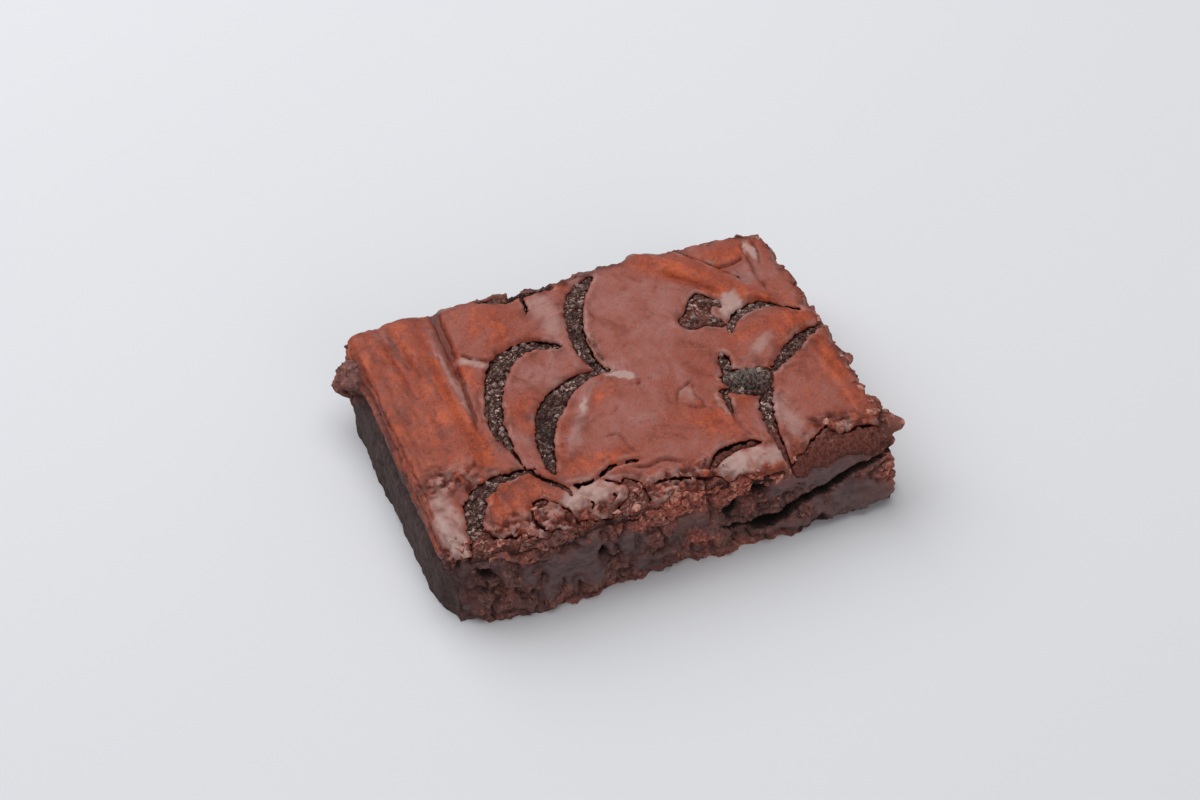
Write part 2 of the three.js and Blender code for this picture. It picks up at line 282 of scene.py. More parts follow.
def domes(x, y):
    """Height of the crust above its usual level, before it tore."""
    height = 0.45 * flat_noise(x, y, 13, 1) + 0.2 * flat_noise(x, y, 4.5, 2)
    for cx, cy, rx, ry, rise in RISES:
        height = height + rise * spot(x, y, cx, cy, rx, ry)
    for start, end, half, rise in WRINKLES:
        distance, _, _ = along_line(x, y, np.array([start, end], float))
        height = height + rise * bell(distance / half)
    frontness = np.clip((-24 - y) / 8, 0, 1)
    slump = 3.2 * ramp(x, 22, 28) * frontness**3
    return height - 1.3 * frontness * (0.7 + 0.6 * noise(x / 5, 3, 3)) - slump


# %% [markdown]
# ## The tears
# Each tear has a line, a greatest width, where along it that width lies, and by how much the plate on
# one side stands above the other: the crust next to a tear curls up on the side that rose.

# %% Tears
TEARS = [
    # line, width, widest at, lift of the left side, raggedness
    ([(-6.5, 14.4), (-13, 16.8), (-20, 13.8), (-24.4, 6), (-26.6, -2), (-25.8, -9)], 4.9, 0.42, 0.7, 1.2),
    ([(-26, -8), (-25.7, -11.6), (-25, -15)], 0.7, 0.3, 0.2, 0.8),
    ([(0, 4), (-6, 4.4), (-12, 1.2), (-16.5, -4), (-19.3, -10), (-20.6, -18.6)], 5.5, 0.5, 1.0, 1.0),
    ([(6.5, 31.4), (1.5, 27), (-1.6, 20), (-3, 12), (-1.4, 4.6)], 4.6, 0.3, 0.9, 1.0),
    ([(27, 5.4), (30, 9.2), (34.5, 11), (39, 9.6), (43.6, 6.4)], 3.2, 0.4, -0.8, 1.1),
    ([(30.6, -8.5), (33.4, -6), (36.8, -3.6), (40.8, -1.2), (45.8, 1.2)], 3.7, 0.55, -0.7, 1.4),
    ([(28.5, -11.5), (26, -15.5), (24.8, -20), (24.3, -25), (24.6, -32)], 3.0, 0.2, 0.5, 1.3),
    ([(19.6, -9.5), (19, -12.5), (18.8, -15.5)], 1.5, 0.4, 0.3, 0.8),
    ([(8.6, -28.2), (12, -25.6), (16, -24.7), (21, -25.1)], 2.3, 0.35, 0.9, 0.9),
    ([(-24, -16), (-29, -15.6), (-35, -17), (-38.4, -21.5), (-40.6, -29.5)], 4.8, 0.7, 0.6, 2.0),
    ([(-9.4, 31.5), (-9.4, 28.4), (-10.2, 25)], 1.0, 0.3, 0.3, 0.8),
    ([(25.5, 33), (28.5, 29), (31.3, 25.5), (36, 19.4)], 0.8, 0.3, -0.5, 0.7),
    ([(-25.4, -15.4), (-22.6, -19.2), (-20, -22.4), (-19, -24.8)], 1.2, 0.75, 0.5, 0.9),
    ([(-20, -22.2), (-16, -23.2), (-12.8, -22.6), (-10, -21), (-6.4, -20.7), (-2.6, -21.4)], 0.7, 0.25,
     0.6, 1.0),
    ([(-12.8, -22.8), (-10.6, -24.4), (-9, -26.2)], 0.5, 0.4, 0.3, 0.9),
    ([(-4.5, -27.2), (0, -27.6), (4.6, -28.4), (8.4, -30.6)], 0.9, 0.5, 0.5, 1.0),
    ([(18.4, -9.2), (21.5, -10.2), (25, -11.8), (29.5, -12.2)], 1.5, 0.5, 0.5, 0.8),
    ([(-27.6, -25), (-28.3, -28), (-26.8, -31.5), (-24.8, -34)], 0.9, 0.4, 0.5, 0.9),
    ([(-25, -24.2), (-22.2, -26.2), (-20.6, -29.5), (-20.8, -34)], 0.9, 0.5, -0.4, 0.9),
    ([(-13, -28.6), (-12, -27.2), (-11.2, -28), (-12.6, -29.2)], 0.5, 0.5, 0.2, 0.8),
    ([(-17.6, -26.4), (-16, -27.6), (-16.6, -29)], 0.5, 0.5, 0.2, 0.8),
    ([(22.4, 0.2), (22.8, -2.4), (21.4, -5.6)], 2.6, 0.5, 0.3, 1.2),
    ([(-19, 32.4), (-14, 31), (-8, 31.4), (-2, 31)], 1.3, 0.4, 0.3, 1.2),
]
TEAR_STATIONS = 26
TEAR_REACH = 6.0
LIFT_REACH = 2.6


def tear_halves(width, widest):
    """Half widths along a tear, from a point over its widest place to a point again."""
    t = np.linspace(0, 1, TEAR_STATIONS)
    swell = np.where(t < widest, t / widest, (1 - t) / (1 - widest))
    return width / 2 * (0.1 + 0.9 * np.sqrt(np.clip(swell, 0, 1)))


def tears(x, y):
    """How far points lie beyond the nearest tear, how much the crust lifts, and the tear's half width."""
    beyond = np.full(x.shape, TEAR_REACH)
    lift = np.zeros(x.shape)
    gape = np.zeros(x.shape)
    grain = 0.24 * flat_noise(x, y, 1.1, 21) + 0.16 * flat_noise(x, y, 0.45, 22)
    for points, width, widest, rise, raggedness in TEARS:
        line, halves = spline(points, TEAR_STATIONS), tear_halves(width, widest)
        near = near_line(x, y, line, TEAR_REACH)
        distance, side, share = along_line(x[near], y[near], line, halves)
        lift[near] += 0.5 * rise * side * bell(distance / LIFT_REACH) * tapered(share, 0.12)
        half = np.interp(share, np.linspace(0, 1, TEAR_STATIONS), halves)
        nearer = distance < beyond[near]
        gape[near] = np.where(nearer, half, gape[near])
        beyond[near] = np.minimum(beyond[near], distance + grain[near] * raggedness)
    return beyond, lift, gape


# %% [markdown]
# Where the crust only folded, a crease runs over it, soft, with painted shade in it. Small pieces of it
# broke in a band near the front left and along the front edge; there it lies in shards at slightly different
# heights, with painted shade in the gaps between them.

# %% Creases and shards
CREASES = [
    # line, half width, depth
    ([(-27.2, 35), (-27.9, 29), (-28.3, 23), (-28.7, 18)], 0.75, 1.0),
    ([(-28.5, 20), (-29.0, 12), (-29.5, 6), (-30.6, -3)], 0.42, 0.9),
    ([(-38.8, 31), (-38.6, 25), (-37.4, 18)], 0.6, 0.5),
    ([(-43.2, 32), (-43.5, 10), (-43.2, -6)], 0.35, 0.25),
    ([(-45.9, 31), (-46.3, 12), (-46, -8), (-46.4, -30)], 0.3, 0.45),
    ([(-48.2, 28), (-48, 8), (-48.5, -10), (-48.2, -30)], 0.35, 0.5),
    ([(-27.2, 19.5), (-24.5, 16.8), (-21.8, 15.2)], 0.35, 0.6),
    ([(31.3, 24.8), (35, 24.2), (39, 25.5)], 0.35, 0.6),
    ([(40.2, 30), (39.7, 26), (39.4, 20), (40, 14)], 0.4, 0.6),
    ([(42.6, 30), (42.4, 26), (41, 22)], 0.35, 0.5),
    ([(18.9, -14.5), (18.6, -19), (19.8, -24.5)], 0.35, 0.4),
    ([(-9, -13.4), (-5.2, -13.8), (-4.4, -17), (-3, -20.5)], 0.3, 0.35),
    ([(-0.9, 14), (-0.6, 10), (-0.4, 6)], 0.4, 0.6),
    ([(27.2, 17.4), (28.4, 15), (30.4, 12.2)], 0.45, 0.6),
    ([(9.4, -10.2), (9.8, -8), (12, -6.2), (14.9, -5.1)], 0.32, 0.5),
    ([(9.6, -9.9), (11.6, -12), (14.4, -12.2), (13.4, -8.6), (14.9, -5.1)], 0.3, 0.4),
    ([(3.9, 0.4), (4.6, -1.4), (3.2, -2.6)], 0.35, 0.5),
    ([(31, -22.4), (33.4, -24.6), (36.6, -24.2), (40.6, -24.8)], 0.4, 0.6),
    ([(20.5, 26.4), (25, 21.4), (30, 16.4)], 0.5, 0.35),
    ([(-6, -21.4), (-3, -23.4), (1, -23), (5, -25.4)], 0.4, 0.6),
    ([(-17, -22.6), (-17.6, -25), (-15.4, -27)], 0.4, 0.6),
    ([(6, -16), (12, -18), (17, -17.4)], 0.35, 0.2),
]
CREASE_STATIONS = 14
CREASE_REACH = 2


def creases(x, y):
    """How far the creases press into the crust, in millimetres."""
    depth = np.zeros(x.shape)
    for points, half, deepest in CREASES:
        line = spline(points, CREASE_STATIONS)
        near = near_line(x, y, line, CREASE_REACH)
        bent_x = x[near] + 0.25 * flat_noise(x[near], y[near], 1.2, 24)
        distance, _, share = along_line(bent_x, y[near], line)
        depth[near] = np.maximum(depth[near], deepest * tapered(share, 0.2) * bell(distance / half))
    return depth


def shards(x, y):
    """How far the crust is broken small, the height of its shards, and how near a gap between them is."""
    share = spot(x, y, -40.5, -12.4, 5.6, 3.6)
    share = np.maximum(share, ramp(-y, 23, 29) * ramp(x, 16, 8))
    share = np.maximum(share, spot(x, y, 37, -27, 7, 3))
    share = share * (1 - spot(x, y, -16, -25.6, 4.5, 2.2))
    bent = 0.8 * flat_noise(x, y, 2.1, 25)
    distance, number = cells(x + bent, y * 1.25 - bent, 3.3, 2.4, 14)
    small, small_number = cells(x, y + bent, 1.7, 1.1, 15)
    gap = np.maximum(ramp(distance, 0.5, 0.78), 0.6 * ramp(small, 0.5, 0.8))
    return share, share * (0.42 * number + 0.22 * small_number + 0.2 - 0.8 * gap), share * gap


# %% [markdown]
# Some patches of the crust broke away and bare the crumb: the chip in the large plate, the dark mound
# beside it, and much of the cut front edge. Each is a closed loop with a crumbled border.

# %% Bare patches
BARE = [
    # loop, raggedness
    ([(25.2, 18.8), (22.3, 16.9), (20.3, 13.8), (18.2, 12), (17.9, 9.9), (19.6, 8.3), (23, 8.4), (26.3, 7.7),
      (27.4, 9), (25.6, 11.5), (26.6, 14), (28.7, 13.2), (27.8, 16.6)], 0.3),
    ([(19.8, -5.6), (22.4, -4.6), (26, -5.6), (29.6, -6.6), (30.4, -9.2), (28.6, -11.6), (25, -10.8),
      (20.5, -9.4)], 0.5),
    ([(-27.3, -23.8), (-25, -23.3), (-24, -24.6), (-26, -25.7), (-27.6, -25.2)], 0.3),
    ([(-9.8, -24.4), (-6.5, -25), (-4.8, -28.5), (-6, -34), (-12.5, -35), (-14, -32), (-10.4, -29.5),
      (-8.6, -27)], 0.9),
    ([(6.6, -29.6), (9.3, -29.8), (10.8, -32), (10.5, -36), (6, -36)], 0.7),
    ([(25, -30.8), (27.6, -29), (31, -27.4), (34.4, -25.8), (37, -28), (41, -27.2), (44.4, -28.6), (49, -31),
      (49, -36), (36, -36), (25.5, -36)], 0.9),
    ([(-41.8, -28.4), (-38.4, -27.2), (-36, -29.6), (-31, -30.2), (-28.5, -32), (-28.5, -36), (-40, -36),
      (-43, -33)], 1.2),
    ([(-20.6, -30.6), (-19.2, -30.6), (-15, -32.2), (-12, -31.6), (-12, -36), (-20.6, -36)], 0.5),
    ([(11, -32.2), (16, -32.6), (23, -32), (24.5, -36), (11, -36)], 0.4),
]


def inside_loop(x, y, loop):
    """Which points lie inside a closed loop: those from which a ray crosses it an odd number of times."""
    crossings = np.zeros(x.shape, bool)
    for (ax, ay), (bx, by) in zip(loop, np.roll(loop, -1, 0)):
        spans = (ay > y) != (by > y)
        crossings ^= spans & (x < ax + (y - ay) * (bx - ax) / (by - ay + 1e-12))
    return crossings


def bare(x, y):
    """How far points lie beyond the nearest bare patch."""
    beyond = np.full(x.shape, TEAR_REACH)
    crumble = flat_noise(x, y, 1.9, 31) + 0.7 * flat_noise(x, y, 0.8, 32)
    for corners, raggedness in BARE:
        loop = spline([*corners, corners[0]], 4 * len(corners))
        near = near_line(x, y, loop, TEAR_REACH)
        distance, _, _ = along_line(x[near], y[near], loop)
        signed = np.where(inside_loop(x[near], y[near], loop), -distance, distance)
        beyond[near] = np.minimum(beyond[near], signed + 0.5 * raggedness * crumble[near])
    return beyond


def unbroken(x, y):
    """How far points lie beyond the nearest tear or bare patch."""
    return np.minimum(tears(x, y)[0], bare(x, y))


# %% [markdown]
# ## The outline
# Three sides were cut with a knife and are only roughly straight. On the fourth the crust turns down
# over the side that baked against the pan. There the crust is a sheet that goes on past the edge, so a
# spot on it is given by its distance along the sheet, and a profile says where that is in space.

# %% Outline and pan side
EDGE_POWER = 8
PAN_UNEVENNESS = 0.35


def rim(u, v):
    """The cut edge of the crust, for u and v from -1 to 1 with one of them at its end."""
    x, y = u * LENGTH / 2, v * WIDTH / 2

    def uneven(along, seed):
        return 0.7 * noise(along / 6, seed) + 0.35 * noise(along / 2.3, seed + 1)

    x = x + np.abs(u) ** EDGE_POWER * uneven(y, 5 * np.sign(u)) * np.where(u < 0, PAN_UNEVENNESS, 1)
    y = y + np.abs(v) ** EDGE_POWER * uneven(x, 8 * np.sign(v))
    swell = 2.0 * bell((x + 37) / 17) + 1.0 * bell((x - 15) / 12) + 0.2
    y = y + np.where(v > 0, np.abs(v) ** EDGE_POWER * swell, 0)
    corner = CORNER_ROUND * bell((1 - np.abs(u)) * 9) * bell((1 - np.abs(v)) * 7)
    corner = corner * np.where(u > 0, 0.3, np.where(v > 0, 1, 0.8))
    return np.stack([x - np.sign(u) * corner, y - np.sign(v) * corner], -1)


RIM_STATIONS = 90
PAN_START = -40.5
PAN_END = -51.6
PROFILE_STATIONS = 200
PAN_PROFILE = spline(
    [(PAN_START, 0), (-43.5, -0.2), (-45.6, -1.1), (-46.9, -2.9), (-47.5, -5.6), (-47.8, -9), (-48, -13),
     (-48.2, -CRUST_HEIGHT)],
    PROFILE_STATIONS,
)
PAN_ARC = arc_lengths(PAN_PROFILE)
PAN_TANGENT = unit(np.gradient(PAN_PROFILE, axis=0))
print(f"pan side: {PAN_ARC[-1]:.1f} mm from its start down to the base")


def on_sheet(plane, height):
    """Points of the crust's sheet at `height` above its usual level, in space."""
    s, t = plane.T
    arc = np.clip(PAN_START - s, 0, None)
    x = np.where(s < PAN_START, np.interp(arc, PAN_ARC, PAN_PROFILE[:, 0]), s)
    z = CRUST_HEIGHT + np.interp(arc, PAN_ARC, PAN_PROFILE[:, 1])
    nx = np.where(s < PAN_START, np.interp(arc, PAN_ARC, PAN_TANGENT[:, 1]), 0)
    nz = np.where(s < PAN_START, -np.interp(arc, PAN_ARC, PAN_TANGENT[:, 0]), 1)
    return np.stack([x + nx * height, t, z + nz * height], -1)


def sheet_outline():
    """The loop that ends the sheet: three cut edges, and the end of the side that baked against the pan."""
    ones = np.ones(RIM_STATIONS)
    u = np.linspace(-40 / 46, 1, RIM_STATIONS)
    front, back = rim(u, -ones), rim(u[::-1], ones)
    right = rim(ones, np.linspace(-1, 1, RIM_STATIONS))
    low, high = front[0, 1], back[-1, 1]
    pan_back = [(-44, high - 0.3), (-47, high - 0.9), (PAN_END, high - 1.2)]
    pan_front = [(PAN_END, low + 1.2), (-47, low + 0.9), (-44, low + 0.3)]
    return np.vstack([front, right, back, pan_back, pan_front, front[:1]])


OUTLINE = sheet_outline()


def inside_outline(x, y):
    """How far inside the crust's outline points lie."""
    distance = np.full(x.shape, TEAR_REACH)
    near = (x < -42) | (x > 41) | (np.abs(y) > 27)
    found, _, _ = along_line(x[near], y[near], OUTLINE)
    distance[near] = np.minimum(found, TEAR_REACH) * np.where(inside_loop(x[near], y[near], OUTLINE), 1, -1)
    torn = 0.05 + (0.28 * ramp(x, -46, -40) + 0.2 * ramp(x, 40, 44))
    return distance + torn * (flat_noise(x, y, 1.3, 41) + 0.6 * flat_noise(x, y, 0.5, 42)) - 0.1


# %% [markdown]
# ## From a region to a closed mesh
# Crust and crumb floor are both slabs: a region of the sheet, with a fine upper side, a rim and a plain
# lower side. A grid covers the region, and its triangles are cut where the region ends, so that the edge
# is crisp. Specks are left out, as are points where two borders touch.

# %% Cutting a region out of a grid
SMALLEST_PATCH = 60


def clip_triangles(plane, triangles, field):
    """Cuts triangles where `field` changes sign and keeps the positive side."""
    count = len(plane)
    positive = field[triangles] >= 0
    whole = triangles[positive.all(1)]
    mixed = triangles[positive.any(1) & ~positive.all(1)]
    # Each cut triangle is turned so that its odd corner comes first.
    inside = field[mixed] >= 0
    single = inside.sum(1) == 1
    odd = np.where(single, inside.argmax(1), (~inside).argmax(1))
    rows = np.arange(len(mixed))
    a, b, c = (mixed[rows, (odd + n) % 3] for n in range(3))

    keys = [np.minimum(a, end) * count + np.maximum(a, end) for end in (b, c)]
    edges, found = np.unique(np.concatenate(keys), return_inverse=True)
    low, high = edges // count, edges % count
    share = field[low] / (field[low] - field[high])
    cuts = plane[low] + (plane[high] - plane[low]) * share[:, None]
    ab, ac = count + found[: len(a)], count + found[len(a) :]
    # A corner that lies on the edge itself stands in for the cut next to it.
    ab = np.where(field[a] == 0, a, np.where(field[b] == 0, b, ab))
    ac = np.where(field[a] == 0, a, np.where(field[c] == 0, c, ac))
    tips = np.stack([a, ab, ac], 1)[single]
    first = np.stack([ab, b, c], 1)[~single]
    second = np.stack([ab, c, ac], 1)[~single]
    kept = np.concatenate([whole, tips, first, second])
    distinct = (kept[:, 0] != kept[:, 1]) & (kept[:, 1] != kept[:, 2]) & (kept[:, 0] != kept[:, 2])
    kept = kept[distinct]
    points = np.concatenate([plane, cuts])
    kept = drop_specks(part_pinches(kept, len(points)), len(points), SMALLEST_PATCH)
    used, index = np.unique(kept, return_inverse=True)
    return points[used], index.reshape(-1, 3)


def drop_specks(triangles, count, least):
    """Leaves out separate patches of fewer triangles than `least`."""
    label = np.arange(count)
    while True:
        lowest = label[triangles].min(1)
        spread = label.copy()
        np.minimum.at(spread, triangles.ravel(), np.repeat(lowest, 3))
        spread = spread[spread]
        if (spread == label).all():
            break
        label = spread
    patch = label[triangles[:, 0]]
    return triangles[np.bincount(patch, minlength=count)[patch] >= least]


def part_pinches(triangles, count):
    """Leaves out the triangles at points where two borders touch: a closed mesh can't have such points."""
    while True:
        starts = np.bincount(open_edges(triangles, count)[:, 0], minlength=count)
        pinched = (starts > 1)[triangles].any(1)
        if not pinched.any():
            return triangles
        triangles = triangles[~pinched]


def open_edges(triangles, count):
    """The edges that only one triangle uses, in that triangle's direction."""
    edges = np.concatenate([triangles[:, [0, 1]], triangles[:, [1, 2]], triangles[:, [2, 0]]])
    keys = edges[:, 0] * count + edges[:, 1]
    return edges[~np.isin(keys, edges[:, 1] * count + edges[:, 0])]


# %% [markdown]
# The lower side is never seen, so it gets few triangles: those between its border and a coarse grid. A
# triangulation gives them, and a walk from the border inwards keeps those that are inside.

# %% Filling a region
def grid_points(xs, ys):
    """The points of a grid, row by row."""
    return np.stack([c.ravel() for c in np.meshgrid(xs, ys)], 1)


def fill_region(points, edges, inner):
    """Few triangles over the region left of the given edges, using also the inner points."""
    plane = np.concatenate([points, inner])
    made = mathutils.geometry.delaunay_2d_cdt(
        [mathutils.Vector(p) for p in plane], [tuple(map(int, e)) for e in edges], [], 0, 1e-7
    )
    _, _, faces, original, _, _ = made
    name = [found[0] if found else -1 for found in original]
    triangles = [tuple(name[v] for v in face) for face in faces]
    walls = {(int(a), int(b)) for a, b in edges}
    owner = {}
    for number, (a, b, c) in enumerate(triangles):
        for edge in ((a, b), (b, c), (c, a)):
            owner[edge] = number
    reached = {owner[edge] for edge in walls if edge in owner}
    front = list(reached)
    while front:
        a, b, c = triangles[front.pop()]
        for edge in ((a, b), (b, c), (c, a)):
            across = owner.get((edge[1], edge[0]))
            if edge not in walls and across is not None and across not in reached:
                reached.add(across)
                front.append(across)
    return np.array([triangles[number] for number in sorted(reached)])


# %% [markdown]
# A slab joins the two sides with a rim, which is swept round the cut in rings. Grid points close to the
# edge are first moved onto it, so that few slivers come out.

# %% Slab
LOWER_COARSENESS = 8
SNAP_SHARE = 0.3
GENTLEST_SLOPE = 0.2


def slab(low, high, spacing, field, height, place, floor, sweep):
    """A closed slab over the region of a plane where `field` is positive.

    `height` gives the upper side, `floor` the lower one and `place` puts a height over a point of the plane
    in space. `sweep` lists the rings of the rim: how far out, and how far down towards the lower side.
    Returns the points, the triangles, each point's place on the plane and its share of the way down.
    """
    xs = np.arange(low[0], high[0] + spacing, spacing)
    ys = np.arange(low[1], high[1] + spacing, spacing)
    gx, gy = np.meshgrid(xs, ys)
    value = field(gx.ravel(), gy.ravel()).reshape(gx.shape)
    slope_y, slope_x = np.gradient(value, spacing)
    steep = np.clip(slope_x**2 + slope_y**2, GENTLEST_SLOPE, None)
    near = np.abs(value) < SNAP_SHARE * spacing
    gx = gx - np.where(near, value * slope_x / steep, 0)
    gy = gy - np.where(near, value * slope_y / steep, 0)
    value = np.where(near, 0, value).ravel()
    plane = np.stack([gx.ravel(), gy.ravel()], 1)

    columns = len(xs)
    i, j = np.meshgrid(np.arange(columns - 1), np.arange(len(ys) - 1))
    a = (j * columns + i).ravel()
    b, c, d = a + 1, a + columns + 1, a + columns
    even = ((i + j) % 2 == 0).ravel()
    first = np.where(even[:, None], np.stack([a, b, c], 1), np.stack([a, b, d], 1))
    second = np.where(even[:, None], np.stack([a, c, d], 1), np.stack([b, c, d], 1))
    upper, triangles = clip_triangles(plane, np.concatenate([first, second]), value)

    edges = open_edges(triangles, len(upper))
    border, found = np.unique(edges, return_inverse=True)
    edges = found.reshape(-1, 2)
    run = upper[border[edges[:, 1]]] - upper[border[edges[:, 0]]]
    outward = np.zeros((len(border), 2))
    for end in range(2):
        np.add.at(outward, edges[:, end], np.stack([run[:, 1], -run[:, 0]], 1))
    outward /= np.hypot(*outward.T)[:, None] + 1e-9

    top_height, edge_plane = height(*upper.T), upper[border]
    edge_top, edge_low = top_height[border], floor(*edge_plane.T)
    points, planes, depths = [place(upper, top_height)], [upper], [np.zeros(len(upper))]
    faces = [triangles]
    ring, total = border, len(upper)
    for out, down in [*sweep, (sweep[-1][0] if sweep else 0, 1)]:
        points.append(place(edge_plane + outward * out, lerp(edge_top, edge_low, down)))
        planes.append(edge_plane)
        depths.append(np.full(len(border), float(down)))
        following = total + np.arange(len(border))
        near_edge, far_edge = ring[edges], following[edges]
        faces.append(np.stack([near_edge[:, 0], far_edge[:, 0], far_edge[:, 1]], 1))
        faces.append(np.stack([near_edge[:, 0], far_edge[:, 1], near_edge[:, 1]], 1))
        ring, total = following, total + len(border)

    wide = LOWER_COARSENESS * spacing
    inner = grid_points(np.arange(low[0], high[0], wide), np.arange(low[1], high[1], wide))
    inner = inner[field(*inner.T) > wide / 2]
    lower = fill_region(edge_plane, edges, inner)
    points.append(place(inner, floor(*inner.T)))
    planes.append(inner)
    depths.append(np.ones(len(inner)))
    rim_point = ring[np.minimum(lower, len(border) - 1)]
    lower = np.where(lower < len(border), rim_point, lower - len(border) + total)
    faces.append(lower[:, ::-1])
    return np.concatenate(points), np.concatenate(faces), np.concatenate(planes), np.concatenate(depths)


# %% [markdown]
# Arrays become a mesh in one go. Its masks, a number at each point, tell its material what shows
# where, and the `scatter` mask says where loose crumbs may lie.

# %% Mesh objects
def make_object(name, points, triangles, masks, material, sharp):
    """A mesh object from arrays, with its masks as point attributes. Points are in millimetres."""
    mesh = bpy.data.meshes.new(name)
    mesh.vertices.add(len(points))
    mesh.vertices.foreach_set("co", in_frame(points).astype(np.float32).ravel())
    mesh.loops.add(3 * len(triangles))
    mesh.loops.foreach_set("vertex_index", triangles.astype(np.int32).ravel())
    mesh.polygons.add(len(triangles))
    mesh.polygons.foreach_set("loop_start", np.arange(0, 3 * len(triangles), 3, dtype=np.int32))
    mesh.update(calc_edges=True)
    mesh.validate()
    for mask, values in masks.items():
        attribute = mesh.attributes.new(mask, "FLOAT", "POINT")
        attribute.data.foreach_set("value", np.asarray(values, np.float32))
    mesh.shade_smooth()
    mesh.set_sharp_from_angle(angle=math.radians(sharp))
    mesh.materials.append(material)
    print(f"{name}: {len(mesh.polygons)} triangles")
    return add_object(name, mesh)


def set_mask(piece, name, values):
    """New values for one of a piece's masks."""
    piece.data.attributes[name].data.foreach_set("value", np.asarray(values, np.float32))
    piece.data.update()


# %% [markdown]
# ## Finishes
# Every finish is a Principled shader whose colour, roughness and bump come from nodes. Their textures
# read Object coordinates, so they stay put in any view, and sizes are given in millimetres.

# %% Node helpers
def srgb(red, green, blue):
    """A colour as picked from a screen, 0 to 255, turned into the linear values that nodes use."""
    shares = [c / 255 for c in (red, green, blue)]
    return (*(c / 12.92 if c <= 0.04045 else ((c + 0.055) / 1.055) ** 2.4 for c in shares), 1)


def feed(tree, socket, value):
    """Sets a socket to a value, or links it to another socket."""
    if isinstance(value, bpy.types.NodeSocket):
        tree.links.new(value, socket)
    else:
        socket.default_value = value


def add_node(tree, kind, inputs, **settings):
    """A new node with its settings, and its inputs, by name or number, as values or as links."""
    node = tree.nodes.new(kind)
    for name, value in settings.items():
        setattr(node, name, value)
    for key, value in inputs.items():
        feed(tree, node.inputs[key], value)
    return node


class Finish:
    """A material under construction, with short calls for the nodes that these finishes use."""

    def __init__(self, name):
        self.material = bpy.data.materials.new(name)
        self.material.use_nodes = True
        self.tree = self.material.node_tree
        self.place = self.node("ShaderNodeTexCoord", {}).outputs["Object"]

    def node(self, kind, inputs, **settings):
        return add_node(self.tree, kind, inputs, **settings)

    def mask(self, name, amount=None):
        """One of the mesh's own masks, at most as strong as `amount`."""
        found = self.node("ShaderNodeAttribute", {}, attribute_name=name).outputs["Fac"]
        return found if amount is None else self.times(found, amount)

    def noise(self, size, detail=3, roughness=0.55, stretch=(1, 1, 1)):
        scale = [1 / (size * MM * s) for s in stretch]
        place = self.node("ShaderNodeMapping", {"Vector": self.place, "Scale": scale}).outputs["Vector"]
        inputs = {"Vector": place, "Scale": 1, "Detail": detail, "Roughness": roughness}
        return self.node("ShaderNodeTexNoise", inputs).outputs["Fac"]

    def grains(self, size):
        inputs = {"Vector": self.place, "Scale": 1 / (size * MM)}
        return self.node("ShaderNodeTexVoronoi", inputs).outputs["Distance"]

    def ramp(self, value, low, high, start=0.0, end=1.0):
        inputs = {"Value": value, "From Min": low, "From Max": high, "To Min": start, "To Max": end}
        return self.node("ShaderNodeMapRange", inputs, interpolation_type="SMOOTHSTEP").outputs["Result"]

    def mix(self, share, first, second):
        inputs = {"Factor": share, 6: first, 7: second}
        return self.node("ShaderNodeMix", inputs, data_type="RGBA").outputs[2]

    def paint(self, colour, *layers):
        """The colour under layers, each given as its share and its own colour."""
        for share, layer in layers:
            colour = self.mix(share, colour, layer)
        return colour

    def math(self, operation, first, second):
        return self.node("ShaderNodeMath", {0: first, 1: second}, operation=operation).outputs[0]

    def times(self, first, second):
        return self.math("MULTIPLY", first, second)

    def bump(self, height, distance, strength, **before):
        inputs = {"Height": height, "Distance": distance * MM, "Strength": strength}
        return self.node("ShaderNodeBump", {**inputs, **before}).outputs["Normal"]

    def finish(self, **inputs):
        """The finished material; the shader's inputs are named with _ for a space."""
        shader = self.tree.nodes["Principled BSDF"]
        for name, value in inputs.items():
            feed(self.tree, shader.inputs[name.replace("_", " ")], value)
        return self.material


# %% [markdown]
# The crust is a thin glaze of sugar and fat. Flat tops have a rose-grey bloom with a painted sheen on it,
# flanks and folds stay rust red, broken edges are darker, and thin flakes are almost cream. Painted
# highlights lie along lips and some slopes, and painted shade in creases and between shards.

# %% Baked crust
RUST = srgb(154, 66, 40)
EMBER = srgb(190, 86, 46)
RUSSET = srgb(150, 77, 61)
# Rose grey of the bloom, with the painted sheen in it.
ROSE_AND_SHEEN = srgb(160, 104, 95)
# Deep red of the mottles, also used for painted shade.
DEEP_RED_AND_SHADE = srgb(78, 34, 28)
# Cream of thin flakes, also used for painted highlights.
CREAM_AND_HIGHLIGHT = srgb(180, 148, 140)
LIGHT_SPECK = srgb(182, 124, 112)
BROKEN = srgb(112, 52, 40)
PAN_DARK = srgb(48, 36, 35)
PAN_LIGHT = srgb(86, 66, 63)


